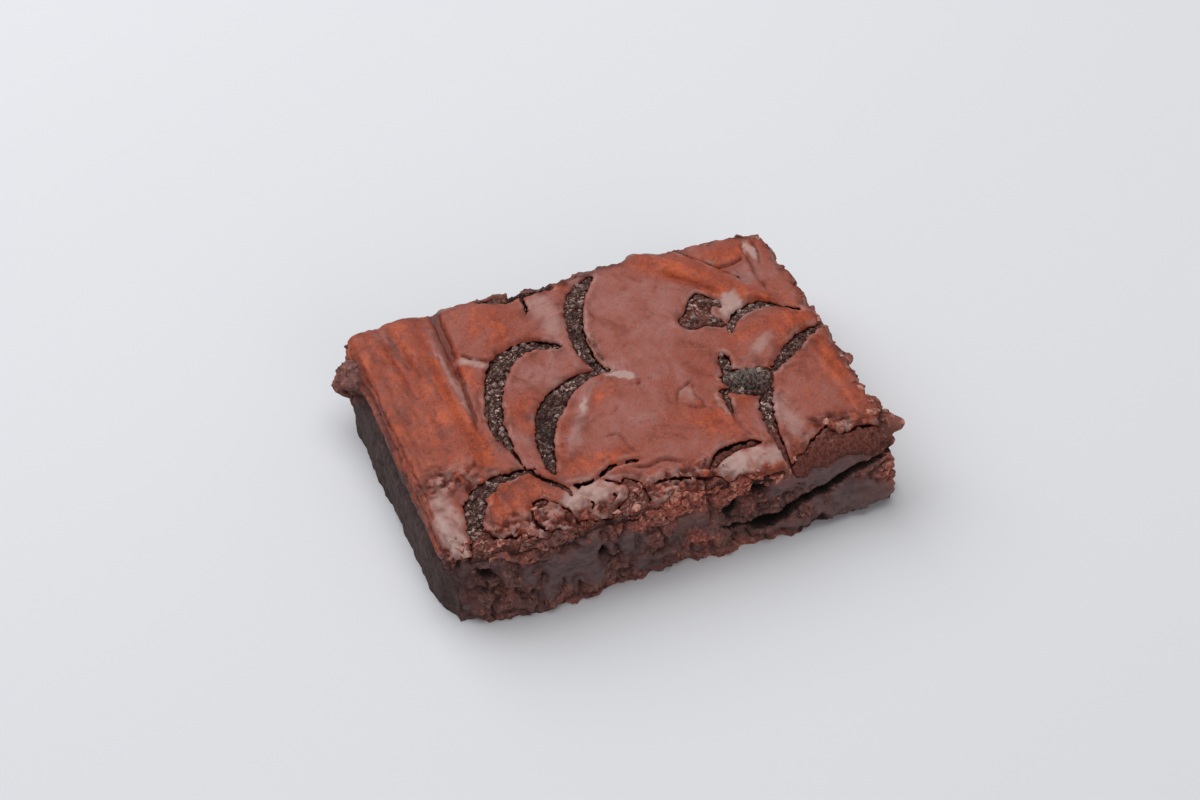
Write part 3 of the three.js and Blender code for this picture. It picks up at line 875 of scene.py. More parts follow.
def baked_crust():
    f = Finish("baked_crust")
    mottle = f.noise(1.1, 5, 0.75)
    specks = f.noise(0.45, 4, 0.7)
    sway = f.math("ADD", f.times(mottle, 0.9), f.times(specks, 0.7))
    # The bloom mask holds the rose-grey bloom and a painted sheen.
    bloom_and_sheen = f.math("ADD", f.mask("bloom_and_sheen"), f.math("SUBTRACT", sway, 0.8))
    colour = f.paint(
        RUST,
        (f.ramp(f.noise(3.2, 6, 0.7, stretch=(1, 2.2, 1)), 0.42, 0.66), EMBER),
        (f.ramp(bloom_and_sheen, -0.1, 0.5), RUSSET),
        (f.ramp(bloom_and_sheen, 0.4, 1.0), ROSE_AND_SHEEN),
        (f.ramp(mottle, 0.52, 0.68, 0, 0.5), DEEP_RED_AND_SHADE),
        (f.ramp(specks, 0.55, 0.68, 0, 0.55), DEEP_RED_AND_SHADE),
        (f.ramp(specks, 0.44, 0.32, 0, 0.4), LIGHT_SPECK),
        # painted shade in creases and gaps, and darker places of the crust's own
        (f.mask("dark", 0.85), DEEP_RED_AND_SHADE),
        (f.mask("pan", 0.9), PAN_DARK),
        # pale flakes and painted highlights
        (f.mask("pale"), CREAM_AND_HIGHLIGHT),
        (f.mask("broken"), BROKEN),
    )
    roughness = f.ramp(f.noise(2.5), 0.3, 0.7, 0.4, 0.58)
    normal = f.bump(f.noise(1.2, 5, 0.7), 0.26, 0.6)
    normal = f.bump(f.noise(0.3, 2, 0.6), 0.05, 0.5, Normal=normal)
    return f.finish(Base_Color=colour, Roughness=roughness, Normal=normal, Specular_IOR_Level=0.25)


# %% [markdown]
# Crumb in a tear is dark and full of pores, with painted shade in the pores and below the crust's edges,
# and painted glints on its grains. On the cut sides the knife smeared part of it into a smooth grey-brown
# film and left the rest torn and redder, with painted highlights on its flecks and painted shade in
# its seams, its hollows and the split.

# %% Crumb finishes
CRUMB_DARK_AND_SHADE = srgb(42, 22, 19)
# Near black of painted shade in the split and in hollows.
HOLLOW_SHADE = srgb(22, 13, 12)
CRUMB_MID = srgb(72, 37, 31)
CRUMB_GREY = srgb(90, 60, 54)
CRUMB_RED = srgb(124, 66, 56)
CRUMB_MOUND = srgb(112, 104, 98)
# Painted glints on the crumb's grains.
PAINTED_GLINT = srgb(208, 180, 164)
SMEARED = srgb(104, 79, 78)
SMEAR_DARK = srgb(76, 53, 53)
TORN = srgb(106, 74, 70)
TORN_RED = srgb(166, 86, 70)
# Painted highlights on flecks of torn crumb.
TORN_HIGHLIGHT = srgb(206, 142, 124)


def torn_crumb():
    f = Finish("torn_crumb")
    pore_shade = f.ramp(f.noise(0.6, 4, 0.7), 0.53, 0.43)
    grain = f.ramp(f.noise(0.75, 4, 0.75), 0.54, 0.59)
    colour = f.paint(
        CRUMB_MID,
        (f.ramp(f.noise(1.7, 4, 0.7), 0.42, 0.58), CRUMB_GREY),
        (f.mask("red", 0.85), CRUMB_RED),
        (f.mask("mound", 0.8), CRUMB_MOUND),
        # painted shade: dim places, pores and the edges below the crust
        (f.mask("dim", 0.9), CRUMB_DARK_AND_SHADE),
        (f.times(pore_shade, f.mask("pit_shade")), CRUMB_DARK_AND_SHADE),
        (f.times(grain, f.mask("painted_glint")), PAINTED_GLINT),
        (f.mask("painted_shade"), CRUMB_DARK_AND_SHADE),
    )
    roughness = f.ramp(f.noise(0.8, 2), 0.3, 0.7, 0.5, 0.85)
    normal = f.bump(f.noise(0.5, 4, 0.7), 0.3, 0.8)
    return f.finish(Base_Color=colour, Roughness=roughness, Normal=normal, Specular_IOR_Level=0.18)


def cut_crumb():
    f = Finish("cut_crumb")
    smear, red, pan, painted_shade = (f.mask(name) for name in ("smear", "red", "pan", "painted_shade"))
    film = f.paint(
        SMEARED,
        (f.ramp(f.noise(1.6, 4, 0.65, stretch=(1.6, 3, 0.8)), 0.36, 0.66), SMEAR_DARK),
        (f.ramp(f.noise(3.4), 0.52, 0.68, 0, 0.7), TORN),
        (f.times(red, 0.6), TORN_RED),
    )
    # Pale flecks are painted highlights, stronger where the crumb is red.
    highlight_flecks = f.times(f.ramp(f.noise(0.9, 4, 0.7), 0.5, 0.62), f.ramp(red, 0, 1, 0.25, 1.0))
    torn = f.paint(
        CRUMB_DARK_AND_SHADE,
        (f.ramp(f.noise(1.3, 5, 0.7), 0.32, 0.47), f.mix(red, TORN, TORN_RED)),
        (highlight_flecks, TORN_HIGHLIGHT),
    )
    baked = f.mix(f.ramp(f.noise(1.4, 5, 0.7), 0.3, 0.75), PAN_DARK, PAN_LIGHT)
    # Painted shade makes the split, hollows and seams near black.
    colour = f.paint(torn, (smear, film), (f.times(pan, 0.92), baked), (painted_shade, HOLLOW_SHADE))
    gloss = f.math("SUBTRACT", f.math("SUBTRACT", smear, pan), painted_shade)
    roughness, specular = f.ramp(gloss, 0, 1, 0.8, 0.5), f.ramp(gloss, 0, 1, 0.22, 0.4)
    normal = f.bump(f.times(f.grains(0.9), -1.0), 0.2, 0.35)
    normal = f.bump(f.noise(0.4, 4, 0.7), 0.12, 0.5, Normal=normal)
    return f.finish(Base_Color=colour, Roughness=roughness, Normal=normal, Specular_IOR_Level=specular)


crust_material = baked_crust()
torn_material = torn_crumb()
cut_material = cut_crumb()

# %% [markdown]
# ## The crust
# The sheet is whole wherever neither the outline, a tear nor a bare patch ends it. Near a tear it curls:
# down at the very edge, and up or down on the whole by the tear's lift.

# %% Crust mesh
SHEET_LOW, SHEET_HIGH = (-52.5, -35), (49, 36)
CRUST_SPACING = 0.33
CRUST_RIM = [(0.08, 0.25), (0.0, 0.7)]


def crust_region(x, y):
    return np.minimum(unbroken(x, y), inside_outline(x, y))


def crust_height(x, y):
    beyond, lift, gape = tears(x, y)
    patches = bare(x, y)
    edge = np.minimum(beyond, patches)
    height = domes(x, y) + lift
    curl = ramp(gape, 0.3, 1.3) * (0.5 + 0.9 * flat_noise(x, y, 3.5, 23))
    height += 0.4 * curl * bell((beyond - 0.8) / 0.9) - 0.4 * np.exp(-np.clip(edge, 0, None) / 0.3)
    height -= 0.3 * np.exp(-np.clip(inside_outline(x, y), 0, None) / 0.7)
    crumbled = ramp(-patches, -2.6, -0.2) + 0.7 * ramp(-y, 22, 27)
    height += 0.25 * np.clip(crumbled, 0, 1.2) * rough(x, y, 3, 1.9)
    height += shards(x, y)[1] - creases(x, y)
    strip = ramp(-x, 29, 33)
    bent = x + 0.9 * noise(x / 6, y / 9, 50)
    height += 0.09 * strip * noise(bent / 1.5, y / 11, 51) + 0.07 * rough(x, y, 0, 2.2)
    layers = ramp(-x, 44.5, 46.5)
    return height + 0.5 * layers * noise(bent / 0.9, y / 9, 52) + 0.2 * layers * rough(x, y, 5, 1.5)


def crust_floor(x, y):
    _, lift, _ = tears(x, y)
    return domes(x, y) + lift - CRUST_THICKNESS


points, triangles, plane, depth = slab(
    SHEET_LOW, SHEET_HIGH, CRUST_SPACING, crust_region, crust_height, on_sheet, crust_floor, CRUST_RIM
)

# %% [markdown]
# Its colour varies from place to place: some places are rosier, some redder, and a few almost cream.
# Part of the rosier colour is a painted sheen, and some pale places are painted highlights.

# %% Bloom, painted sheen, pale places and painted highlights
# Rosier spots are partly a painted sheen on flats and on slopes that face the light.
BLOOMS_AND_SHEEN = [
    # middle x and y, half widths, turn in degrees, how much rosier (or, if negative, redder)
    (11, 14, 13, 15, 20, 0.35),
    (3, 22, 3, 9, -25, 0.3),
    (1.5, 3.6, 1.7, 1.6, 0, 0.9),
    (27.5, 23.4, 17, 3.3, -44.5, -1.5),
    (22, 21, 5, 2, -46, 0.3),
    (36, 20, 3, 4, 0, 0.8),
    (36, 28, 8, 3, 0, -0.9),
    (37.5, 3.6, 7, 3.2, 10, -1.2),
    (31, -0.6, 4.5, 1.7, 40, 1.0),
    (27, 3, 2.5, 3, 0, -0.4),
    (29, -18, 2.6, 10, 8, 0.7),
    (43, -12, 2.2, 10, 0, -1.1),
    (22, -14, 1.8, 4, 0, -0.7),
    (22.5, -21.5, 2, 3.5, 0, 0.6),
    (-11.5, -9, 9, 1.4, 58, 1.0),
    (-5, -2.6, 6, 1.6, 35, -0.7),
    (-2, -11, 8, 6, 0, 0.35),
    (14, -17, 7, 4, -30, -0.8),
    (-12, -19, 8, 2.2, 0, -0.9),
    (4, -21, 8, 4, 0, 0.25),
    (-14.5, 8, 6, 4.5, 20, 0.6),
    (-20, -0.5, 2.2, 4, -20, -1.1),
    (-23, -8, 1.6, 7, 5, 0.5),
    (-19, 27, 8, 6, 0, -0.6),
    (-25.4, 23, 1.6, 7, 0, 0.4),
    (-27, 11, 1.5, 6, 0, -0.8),
    (-6.5, 24, 3, 8, 0, 0.9),
    (-3, 31.5, 6, 1.2, 0, -1.0),
    (-46.6, 0, 1.4, 40, 0, -1.0),
    (-41, 0, 2.6, 17, 0, 0.5),
    (-34.5, 4, 2.4, 24, 0, -1.3),
    (-40, 8, 8, 26, 0, -0.35),
    (-36, -10, 6, 5, 0, -0.7),
    (-39, 27, 0.9, 6, 3, 1.1),
    (-31, 14, 0.7, 13, 1, 1.2),
    (-44, 26, 2, 8, 0, -0.5),
    (-45, -24, 2.2, 8, -8, 1.2),
    (-43.4, -28, 0.9, 2, 0, -1.8),
    (-30, -22, 5, 4, 0, -0.8),
    (-40, -12, 5, 4, 0, 0.3),
]
# Some of these spots are painted highlights on ridges and slopes, the rest pale flakes.
PALES_AND_HIGHLIGHTS = [
    # the same, but how much paler
    (30.6, 13.4, 2.0, 2.8, -35, 1.9),
    (29, 10.2, 1.4, 0.9, 0, 0.8),
    (17, -28.6, 5.9, 2.1, 0, 1.3),
    (1.6, 1.4, 2.8, 0.7, -28, 1.6),
    (40.9, 26.6, 0.9, 2.6, 8, 1.5),
    (36.5, 20, 2.6, 2.8, 0, 0.15),
    (-25, 16, 3.2, 0.8, -32, 0.7),
    (-31, 13, 0.5, 10, 1, 0.4),
    (-44.2, -23.5, 2.5, 8, -6, 0.85),
    (31.5, -0.4, 3.5, 1.2, 40, 0.35),
    (-12, -9.5, 8, 0.9, 58, 0.3),
    (-9, -4.5, 2.5, 0.6, 58, 0.6),
    (17.6, -13, 0.5, 3.5, 5, 0.7),
    (12, -8.6, 1.4, 2, 0, 0.4),
    (-16, -25.6, 4.6, 2.1, 0, 1.2),
    (-6.5, 24, 2, 6, 0, 0.3),
    (28, -22, 1.6, 5, 8, 0.35),
    (-0.6, 17, 0.4, 6, 0, 0.5),
]


def painted(x, y, spots, shape):
    """The sum of the spots' amounts, faded by `shape` of the distance from each middle."""
    total = np.zeros(x.shape)
    for cx, cy, rx, ry, turn, amount in spots:
        cos, sin = math.cos(math.radians(turn)), math.sin(math.radians(turn))
        along, across = (x - cx) * cos + (y - cy) * sin, (y - cy) * cos - (x - cx) * sin
        total += amount * shape(np.hypot(along / rx, across / ry))
    return total


# %% [markdown]
# Masks carry these places to the material. On the rim and the lower side they are empty, apart from
# those for the broken edge and the pan side. Slopes that face the back get a painted sheen that makes
# them a little rosier.

# %% Crust masks
TILT_STEP = 1.5
TILT_X, TILT_Y = 0.36 * TILT_STEP, 0.93 * TILT_STEP
TILT_MOST = 0.3

x, y = plane.T
upper = depth == 0
edge = crust_region(x, y)
inward = inside_outline(x, y)
# Slopes that face the back get a painted sheen, added to the bloom.
rise_back = domes(x + TILT_X, y + TILT_Y) - domes(x - TILT_X, y - TILT_Y)
sheen_from_tilt = np.clip(-rise_back / (2 * TILT_STEP), -TILT_MOST, TILT_MOST)
ragged_x = x + 0.6 * flat_noise(x, y, 1.3, 71) + 0.35 * flat_noise(x, y, 0.5, 73)
ragged_y = y + 0.6 * flat_noise(x, y, 1.3, 72) + 0.35 * flat_noise(x, y, 0.5, 74)
pale = painted(ragged_x, ragged_y, PALES_AND_HIGHLIGHTS, lambda r: ramp(1.5 - r, 0, 0.8))
# A painted highlight along the curled lip next to each tear.
lip = bell((edge - 0.4) / 0.35) * ramp(flat_noise(x, y, 2.2, 62), -0.1, 0.4) * ramp(x, -42, -38)
strip = ramp(-x, 29, 32)
wind_x, wind_y = x + 2.4 * flat_noise(x, y, 5, 63), y + 2.4 * flat_noise(x, y, 5, 64)
marbling = 0.5 * flat_noise(wind_x, wind_y, 4.2, 65) + 0.4 * flat_noise(wind_x, wind_y, 1.7, 66)
marbling += 0.3 * flat_noise(wind_x, wind_y, 0.8, 67)
streaks = 0.7 * noise(wind_x / 1.5, y / 13, 68) + 0.4 * noise(x / 0.6, y / 6, 69)
# Real bloom and painted sheen together: spots, back-facing slopes and random marbling.
bloom_and_sheen = 0.46 + 0.62 * painted(x, y, BLOOMS_AND_SHEEN, bell) + 1.1 * sheen_from_tilt + 0.36 * marbling
bloom_and_sheen += strip * (0.4 * streaks - 0.28)
broken_up, _, gap = shards(x, y)
bloom_and_sheen += 0.3 * broken_up * flat_noise(x, y, 1.2, 57)
crumbled = noise(x / 1.5, y / 1.1, 75) + 0.6 * flat_noise(x, y, 0.6, 76)
pale = pale * (0.75 + 0.7 * marbling) + 0.35 * lip + 0.5 * broken_up * ramp(-crumbled, 0.15, 0.5)
cut_rim = bell(np.clip(inward, 0, None) / (0.9 + 0.7 * flat_noise(x, y, 2, 70))) * ramp(x, -30, -26)
# The dark mask is painted shade in creases, in gaps between shards and in their cavities, and darkens at
# random, in the strip's streaks, along the cut edge, near tears and in lines at the pan side's edge.
dark = 1.1 * creases(x, y) + 1.1 * gap + 0.75 * cut_rim + 0.4 * ramp(-marbling, 0.15, 0.7)
dark += 0.45 * bell((edge - 0.9) / 0.9) * ramp(flat_noise(x, y, 2.6, 59), 0, 0.5)
dark += strip * (0.12 + 0.4 * ramp(-streaks, 0.1, 0.7)) + broken_up * ramp(crumbled, 0.1, 0.4)
dark += 0.5 * ramp(-x, 45.2, 46.4) * ramp(noise(x / 0.7, y / 7, 58), -0.1, 0.5)
bits = 0.8 * ramp(-bare(x, y), -1.8, -0.3) * ramp(-y, 8, 10) + 0.25 * broken_up
bits += 2.5 * ramp(x, 30, 40) * bell(inward / 1.1)
crust_masks = {
    "bloom_and_sheen": upper * np.clip(bloom_and_sheen, -0.3, 1.3),
    "pale": upper * np.clip(pale, 0, 0.9),
    "dark": upper * np.clip(dark, 0, 1),
    "broken": np.clip(depth * 3, 0, 1),
    "scatter": upper * np.clip(bits, 0, 3),
    "pan": ramp(-x, 48.6, 50.4) * (0.6 + 0.4 * noise(x / 1.2, y / 6, 61)),
}
crust = make_object("brownie_crust", points, triangles, crust_masks, crust_material, sharp=50)

# %% [markdown]
# ## The crumb in the tears
# Through each tear shows the crumb, a little below the crust, with pores and grains. It is a slab of its
# own that reaches a short way under the crust, so that no gap shows, and drops at the sides of a tear.

# %% Floors of the tears
FLOOR_SPACING = 0.25
UNDER_CRUST = 0.9
FLOOR_BASE = 3.0
MOUND = (25, -8)
CHIP = (23, 12)


def floor_region(x, y):
    return np.minimum(UNDER_CRUST - unbroken(x, y), inside_outline(x, y) - 0.05)


def floor_height(x, y):
    beyond, lift, _ = tears(x, y)
    patches = bare(x, y)
    inside = -np.minimum(beyond, patches)
    trench = 0.3 + 0.7 * ramp(flat_noise(x, y, 2.8, 27), -0.3, 0.4)
    ground = domes(x, y) + 0.4 * lift - CRUST_THICKNESS - trench * (1 - ramp(inside, -0.2, 0.6))
    ground += 0.5 * ramp(-patches, 0, 1.2) + 1.1 * spot(x, y, *MOUND, 5, 3)
    ground += 0.4 * spot(x, y, *CHIP, 4, 4)
    pores, number = cells(x, y, 0, 1.15, 3)
    fine, tone = cells(x, y, 0, 0.6, 9)
    coarse, _ = cells(x + 0.5 * fine, y, 0, 2.3, 4)
    lumps = 0.4 * (0.55 - pores) + 0.35 * (0.5 - fine) + 0.2 * number + 0.15 * tone
    lumps += 0.3 * rough(x, y, 8, 1.7)
    return ground + lumps + 1.0 * (0.5 - coarse) * ramp(-patches, 0.3, 1.5)


def floor_underside(x, y):
    return domes(x, y) - FLOOR_BASE


points, triangles, plane, depth = slab(
    SHEET_LOW, SHEET_HIGH, FLOOR_SPACING, floor_region, floor_height, on_sheet, floor_underside, []
)

# %% [markdown]
# The masks say where the crumb is redder, where it gets painted shade, and where its grains get painted
# glints.

# %% Masks of the floors
x, y = plane.T
upper = depth == 0
inside = -unbroken(x, y)
mound = spot(x, y, *MOUND, 5.5, 3.2)
chip = spot(x, y, *CHIP, 6, 6)
front_red = np.maximum(ramp(-y, 20, 24) * ramp(x, -36, -26), ramp(-y, 25, 29))
plain = 1 - 0.75 * ramp(x, 14, 22) * ramp(-y, 23, 25)
# Painted shade, in two of the tears and in the crevice along the back.
dim = 0.8 * spot(x, y, -17.5, -8, 4, 10) + 0.5 * spot(x, y, -2, 13, 2, 8)
dim = np.clip(dim + spot(x, y, -9, 32.5, 11, 2.6), 0, 1)
clumps = 0.35 + 0.65 * ramp(flat_noise(x, y, 2.3, 73) + 0.4 * flat_noise(x, y, 1.1, 74), -0.2, 0.35)
brim = 0.15 + 0.35 * ramp(flat_noise(x, y, 1.8, 28), -0.4, 0.4)
# Painted glints, fewer where the crumb is red, on the mound and in the painted shade.
painted_glint = ramp(inside, 0.1, 0.6) * (1 - 0.5 * front_red) * (1 - 0.5 * mound) * (1 - 0.85 * dim)
floor_masks = {
    "painted_glint": painted_glint * clumps * plain,
    # Painted shade in the pores, below the crust's edges and on the slab's sides.
    "pit_shade": 1 - np.clip(0.1 * mound + 0.6 * chip + 0.4 * front_red, 0, 0.7),
    "painted_shade": np.maximum(1 - ramp(inside, -0.4, brim), depth),
    "dim": np.clip(dim * (1.1 + 0.3 * flat_noise(x, y, 1.4, 29)), 0, 1),
    "mound": ramp(mound + 0.3 * flat_noise(x, y, 1.1, 77), 0.25, 0.65),
    "red": np.clip(front_red + 0.9 * chip, 0, 1),
    "scatter": upper * ramp(inside, 0.3, 0.6) * (1 - 0.7 * mound) * (1 - front_red) * (1 - dim),
}
floors = make_object("brownie_tears", points, triangles, floor_masks, torn_material, sharp=70)
front_patches = upper * ramp(-bare(x, y), 0.0, 0.5) * ramp(-y, 22, 24) * ramp(-x, -22, -18)

# %% [markdown]
# ## The cut body
# Below the crust is the crumb itself. Its walls are rings of points below the crust's edge. Each wall
# leans out towards the base, and the knife left lumps, holes and one long split in it.

# %% Places on the walls
SPLIT_START, SPLIT_END = 9, 54
SPLIT_WIDE, SPLIT_NARROW, SPLIT_REACH = 2.5, 1.7, 4.5
SPLIT_LINE = spline(
    [(9, 5.6), (15, 4.7), (21, 4.8), (26, 6.9), (31, 8.4), (37, 10.2), (42, 12.8), (47, 15), (54, 15.2)],
    PROFILE_STATIONS,
)
WALL_RELIEF = [
    # place, half widths, how far out
    (-48.6, 30, 15.8, 5.5, 4.4, 5, 9.2),
    (-48, 25.8, 11.6, 4, 2.6, 3, 3.6),
    (-48, 32, 9.6, 4, 2, 2.4, 2.4),
    (47.4, -30, 17.6, 4.5, 3.6, 2.6, 7.2),
    (48, -30, 10.5, 4, 4.5, 4.5, 2.4),
    (48.4, -31, 3.4, 4, 3.6, 2.8, 3.2),
    (38, -34, 2.2, 7, 4, 2.6, 1.6),
    (-31, -34, 2, 5, 4, 2.6, 1.5),
    (-20, -34, 1.6, 6, 4, 2.2, 1.4),
    (-41, -33, 2, 3.5, 4, 2.6, 0.8),
    (5, -33, 4.2, 3.4, 4, 2, 1.9),
    (-40, -33, 10.2, 2.6, 4, 1.5, -3.6),
    (-37.4, -33, 8, 1.0, 4, 3.2, -1.6),
    (12, -33, 9.8, 1.8, 4, 1.6, -3.8),
    (17.5, -33, 12.8, 1.9, 4, 1.6, -3.8),
    (-15.8, -33, 8.8, 0.8, 4, 2.0, -2.4),
    (-8.6, -33, 10, 0.7, 4, 3.0, -1.2),
    (-29.6, -34, 3, 0.8, 4, 3.0, -1.2),
    (22, -34, 1.6, 4, 4, 0.5, -1.3),
    (-44, -33, 13.5, 2.6, 4, 1.8, 1.2),
]
SMEARS = [
    # distance along the front, height, half widths
    (-23, 8.6, 9, 6.2),
    (-9.5, 9, 3, 4.5),
    (3, 9.5, 3.8, 2.6),
    (31, 12.8, 11.5, 3.8),
    (38, 4.4, 9.5, 3.4),
    (25, 2.4, 5, 1.5),
    (-6, 3, 3.6, 1.6),
]
REDS = [
    # distance along the front, height, half widths
    (-1, 16.4, 20, 3.4),
    (-18, 0.2, 8, 1.6),
    (13, 0.2, 8, 1.3),
    (5, 4.4, 3.4, 1.7),
    (46, 16, 3, 4),
    (46.5, 7, 2, 6),
    (49.5, 16.5, 4, 4),
    (34, 17, 12, 2),
    (-48, 13, 2.5, 6),
    (15, 14, 5, 2.4),
    (-38, 17, 8, 1.6),
]
# the lump at the back left that is torn all over: its middle and its half widths
CLOT = ((-48, 29, 14.5), (5, 7, 6.5))
print(f"{len(WALL_RELIEF)} lumps and holes, {len(SMEARS)} smears and {len(REDS)} red places")

# %% [markdown]
# The walls start from evenly spaced points of the crust's edge. The way out from each is taken over a
# few millimetres, so that the corners come out round.

# %% Edge of the walls
EDGE_STATIONS = 400
WALL_STEP = 0.34
WAY_OUT_REACH = 4.3


def wall_outline():
    """Evenly spaced points of the edge, anticlockwise from the front left, and the way out from each."""
    ones, t = np.ones(EDGE_STATIONS), np.linspace(-1, 1, EDGE_STATIONS)
    loop = np.vstack([rim(t, -ones)[:-1], rim(ones, t)[:-1], rim(-t, ones)[:-1], rim(-ones, -t)[:-1]])
    closed = np.vstack([loop, loop[:1]])
    arc = arc_lengths(closed)
    count = int(arc[-1] / WALL_STEP)
    at = np.arange(count) * arc[-1] / count
    edge = np.stack([np.interp(at, arc, closed[:, c]) for c in range(2)], 1)
    reach = int(WAY_OUT_REACH / WALL_STEP)
    tangent = np.roll(edge, -reach, 0) - np.roll(edge, reach, 0)
    return edge, unit(np.stack([tangent[:, 1], -tangent[:, 0]], 1))


# %% [markdown]
# Three things shape a wall's surface: the film that the knife smeared, the lumps and seams of the torn
# crumb between, and the split, which runs along the front and on round the right corner.

# %% Surface of the walls
def smear_share(along, px, py, z, front):
    """How far the knife smeared the crumb: at set places of the front, and anywhere on the other sides."""
    smear = np.zeros(z.shape)
    for s, h, rs, rh in SMEARS:
        smear = np.maximum(smear, 1.25 - np.hypot((along - s) / rs, (z - h) / rh) ** 2)
    smear = np.where(front > 0.5, smear, 0.35 + 0.8 * noise(px / 7, py / 7, z / 5))
    return ramp(smear + 0.6 * rough(px, py, z, 3.6) + 0.3 * noise(px / 0.9, py / 0.9, z / 0.9), 0.2, 0.75)


def torn_relief(px, py, z):
    """How far torn crumb stands out, in lumps between seams, and how far each point is a seam."""
    warp = 0.9 * noise(px / 2.4, py / 2.4, z / 2.4)
    clods, clod_number = cells(px + warp, py + warp, z + warp, 3.4, 4)
    crumbs, number = cells(px, py, z + warp, 1.8, 5)
    fine, _ = cells(px, py, z, 0.9, 6)
    seam = np.abs(noise(px / 4.6 + warp / 3, py / 4.6, z / 2.7 + 3))
    small_seam = np.abs(noise(px / 2.0, py / 2.0 + 5, z / 1.3))
    lumps = 2.6 * seam - 0.9 + 1.0 * small_seam - 0.3 + 0.5 * (0.5 - clods) + 0.25 * clod_number
    lumps = lumps + 0.6 * (0.5 - crumbs) + 0.2 * number + 0.4 * (0.45 - fine) + 0.25 * rough(px, py, z, 1.6)
    return lumps, np.maximum(ramp(0.15 - seam, 0, 0.12), 0.7 * ramp(0.12 - small_seam, 0, 0.1))


def wall_split(along, z):
    """How wide open the split is at each spot, the height above its line, and how far inside it z lies."""
    share = np.clip((along - SPLIT_START) / (SPLIT_END - SPLIT_START), 0, 1)
    open_share = np.clip(np.sin(np.pi * share), 0, None) ** 0.6
    line = np.interp(share, np.linspace(0, 1, PROFILE_STATIONS), SPLIT_LINE[:, 1])
    above = z - (line + 0.18 * noise(along / 1.4, 0, 71))
    half = 0.5 * lerp(SPLIT_WIDE, SPLIT_NARROW, ramp(along, 20, 27)) * open_share + 1e-6
    return open_share, above, 1 - np.abs(above) / half


# %% [markdown]
# Each point of a wall starts below the edge, on the lean of its side, and moves out or in by the sum of
# these shapes. Weights for pan side, front and right side come from the way out.

# %% Walls
RIGHT_LEAN = 0.9
BASE_FLARE = 0.5
PAN_UNDERCUT = 1.3


def wall_points(edge, outward, z, top):
    """Points of the walls at height z below the edge, with their masks."""
    nx, ny = outward.T[:, :, None]
    ex, ey = edge.T[:, :, None]
    pan = np.clip(-nx, 0, None) ** 2
    front = np.clip(-ny, 0, None) ** 2
    right = np.clip(nx, 0, None) ** 2
    down = 1 - z / top
    lean = FRONT_LEAN * (0.42 + 0.62 * bell((ex + 25) / 13) + 0.5 * bell((ex - 10) / 3))
    cut_offset = front * lean * np.clip(down, 0, 1) ** 1.3 + right * RIGHT_LEAN * down
    cut_offset = cut_offset + BASE_FLARE * np.clip((down - 0.75) * 4, 0, 1)
    profile = np.interp(CRUST_HEIGHT - z, -PAN_PROFILE[:, 1], PAN_PROFILE[:, 0])
    under = PAN_UNDERCUT * ramp(z, 10.5, 12)
    offset = lerp(cut_offset, -(profile + LENGTH / 2) - under, pan)
    px, py = ex + nx * offset, ey + ny * offset

    along = np.where(ny > 0.5, SPLIT_START, ex + right * (ey + WIDTH / 2))
    place = (px, py, z)
    clot = blob(place, *CLOT)
    no_clot = 1 - ramp(clot, 0.1, 0.45)
    smear = np.maximum(smear_share(along, px, py, z, front), pan) * no_clot
    torn = 1 - smear
    fade = np.sin(np.pi / 2 * np.clip(2.5 * down, 0, 1))
    large = 0.65 * noise(px / 4.2, py / 4.2, z / 4.2) + 0.35 * noise(px / 2 + 9, py / 2, z / 2)
    out = lerp(0.9, 0.15, pan) * fade * large
    bulge = np.zeros(px.shape)
    for x, y, h, rx, ry, rz, reach in WALL_RELIEF:
        raised = reach * blob(place, (x, y, h), (rx, ry, rz))
        out = out + raised
        bulge = bulge + np.clip(raised, 0, None)
    lumps, seams = torn_relief(px, py, z)
    out = out + torn * lumps
    ripples = 0.4 * rough(px, py, z, 4.5, 2) + 0.18 * rough(px + z, py, z - 0.6 * px, 1.5)
    nicks = ramp(rough(px, py + 9, z, 2.6), 0.5, 0.95)
    out = out + smear * (0.25 + (1 - pan) * (ripples - 0.7 * nicks)) + 0.08 * rough(px, py, z, 0.7, 2)
    out = out + 0.3 * pan * rough(px, py, z, 3.2)
    out = out + 0.22 * bulge * rough(px, py, z, 2.2)
    # Painted shade in the deepest hollows of a wall.
    cavity = ramp(-out, 0.9, 2.0) * (1 - pan)

    open_share, above, into = wall_split(along, z)
    gape = SPLIT_REACH * open_share * np.clip(into, 0, None) ** 0.55
    lip = 0.8 * open_share * np.clip(-above, 0, 2.5) / 2.5 * ramp(-into, -1, 0)
    out = out * (1 - 0.75 * open_share * bell(above / 1.7)) + lip - gape
    out = out * lerp(0.8, 1, ramp(z, 0.0, 0.8))
    points = np.stack([px + nx * out, py + ny * out, z + 0 * px], -1)
    redness = 0.5 * right + 0.35 * noise(px / 4, py / 4, z / 3) + 0.25 * clot
    for s, h, rs, rh in REDS:
        redness = redness + spot(along, z, s, h, rs, rh) * (front > 0.3)
    redness = np.clip(redness * (0.5 + 0.5 * ramp(z, 2, 6)), 0, 1)
    # Painted shade: black inside the split and a little beyond its mouth.
    hollow = ramp(into, -0.5, -0.1) * ramp(open_share, 0, 0.2)
    clear = 1 - ramp(open_share, 0, 0.3) * bell(above / 2)
    masks = {
        "smear": smear,
        "pan": pan * no_clot,
        # painted shade in the split, in hollows and along seams
        "painted_shade": np.maximum.reduce([hollow, cavity, 0.8 * (torn * seams)]),
        "bits": redness * ramp(z, 11, 13.5) * front * (1 - cavity) * clear,
        "red": redness,
        "scatter": torn * ramp(z, 1.0, 1.8) * np.maximum(ramp(pan, 0.3, 0.1), clot) * clear,
    }
    return points, masks


# %% [markdown]
# The top of the body is hidden below the crust and the floors of the tears. The base is flat.

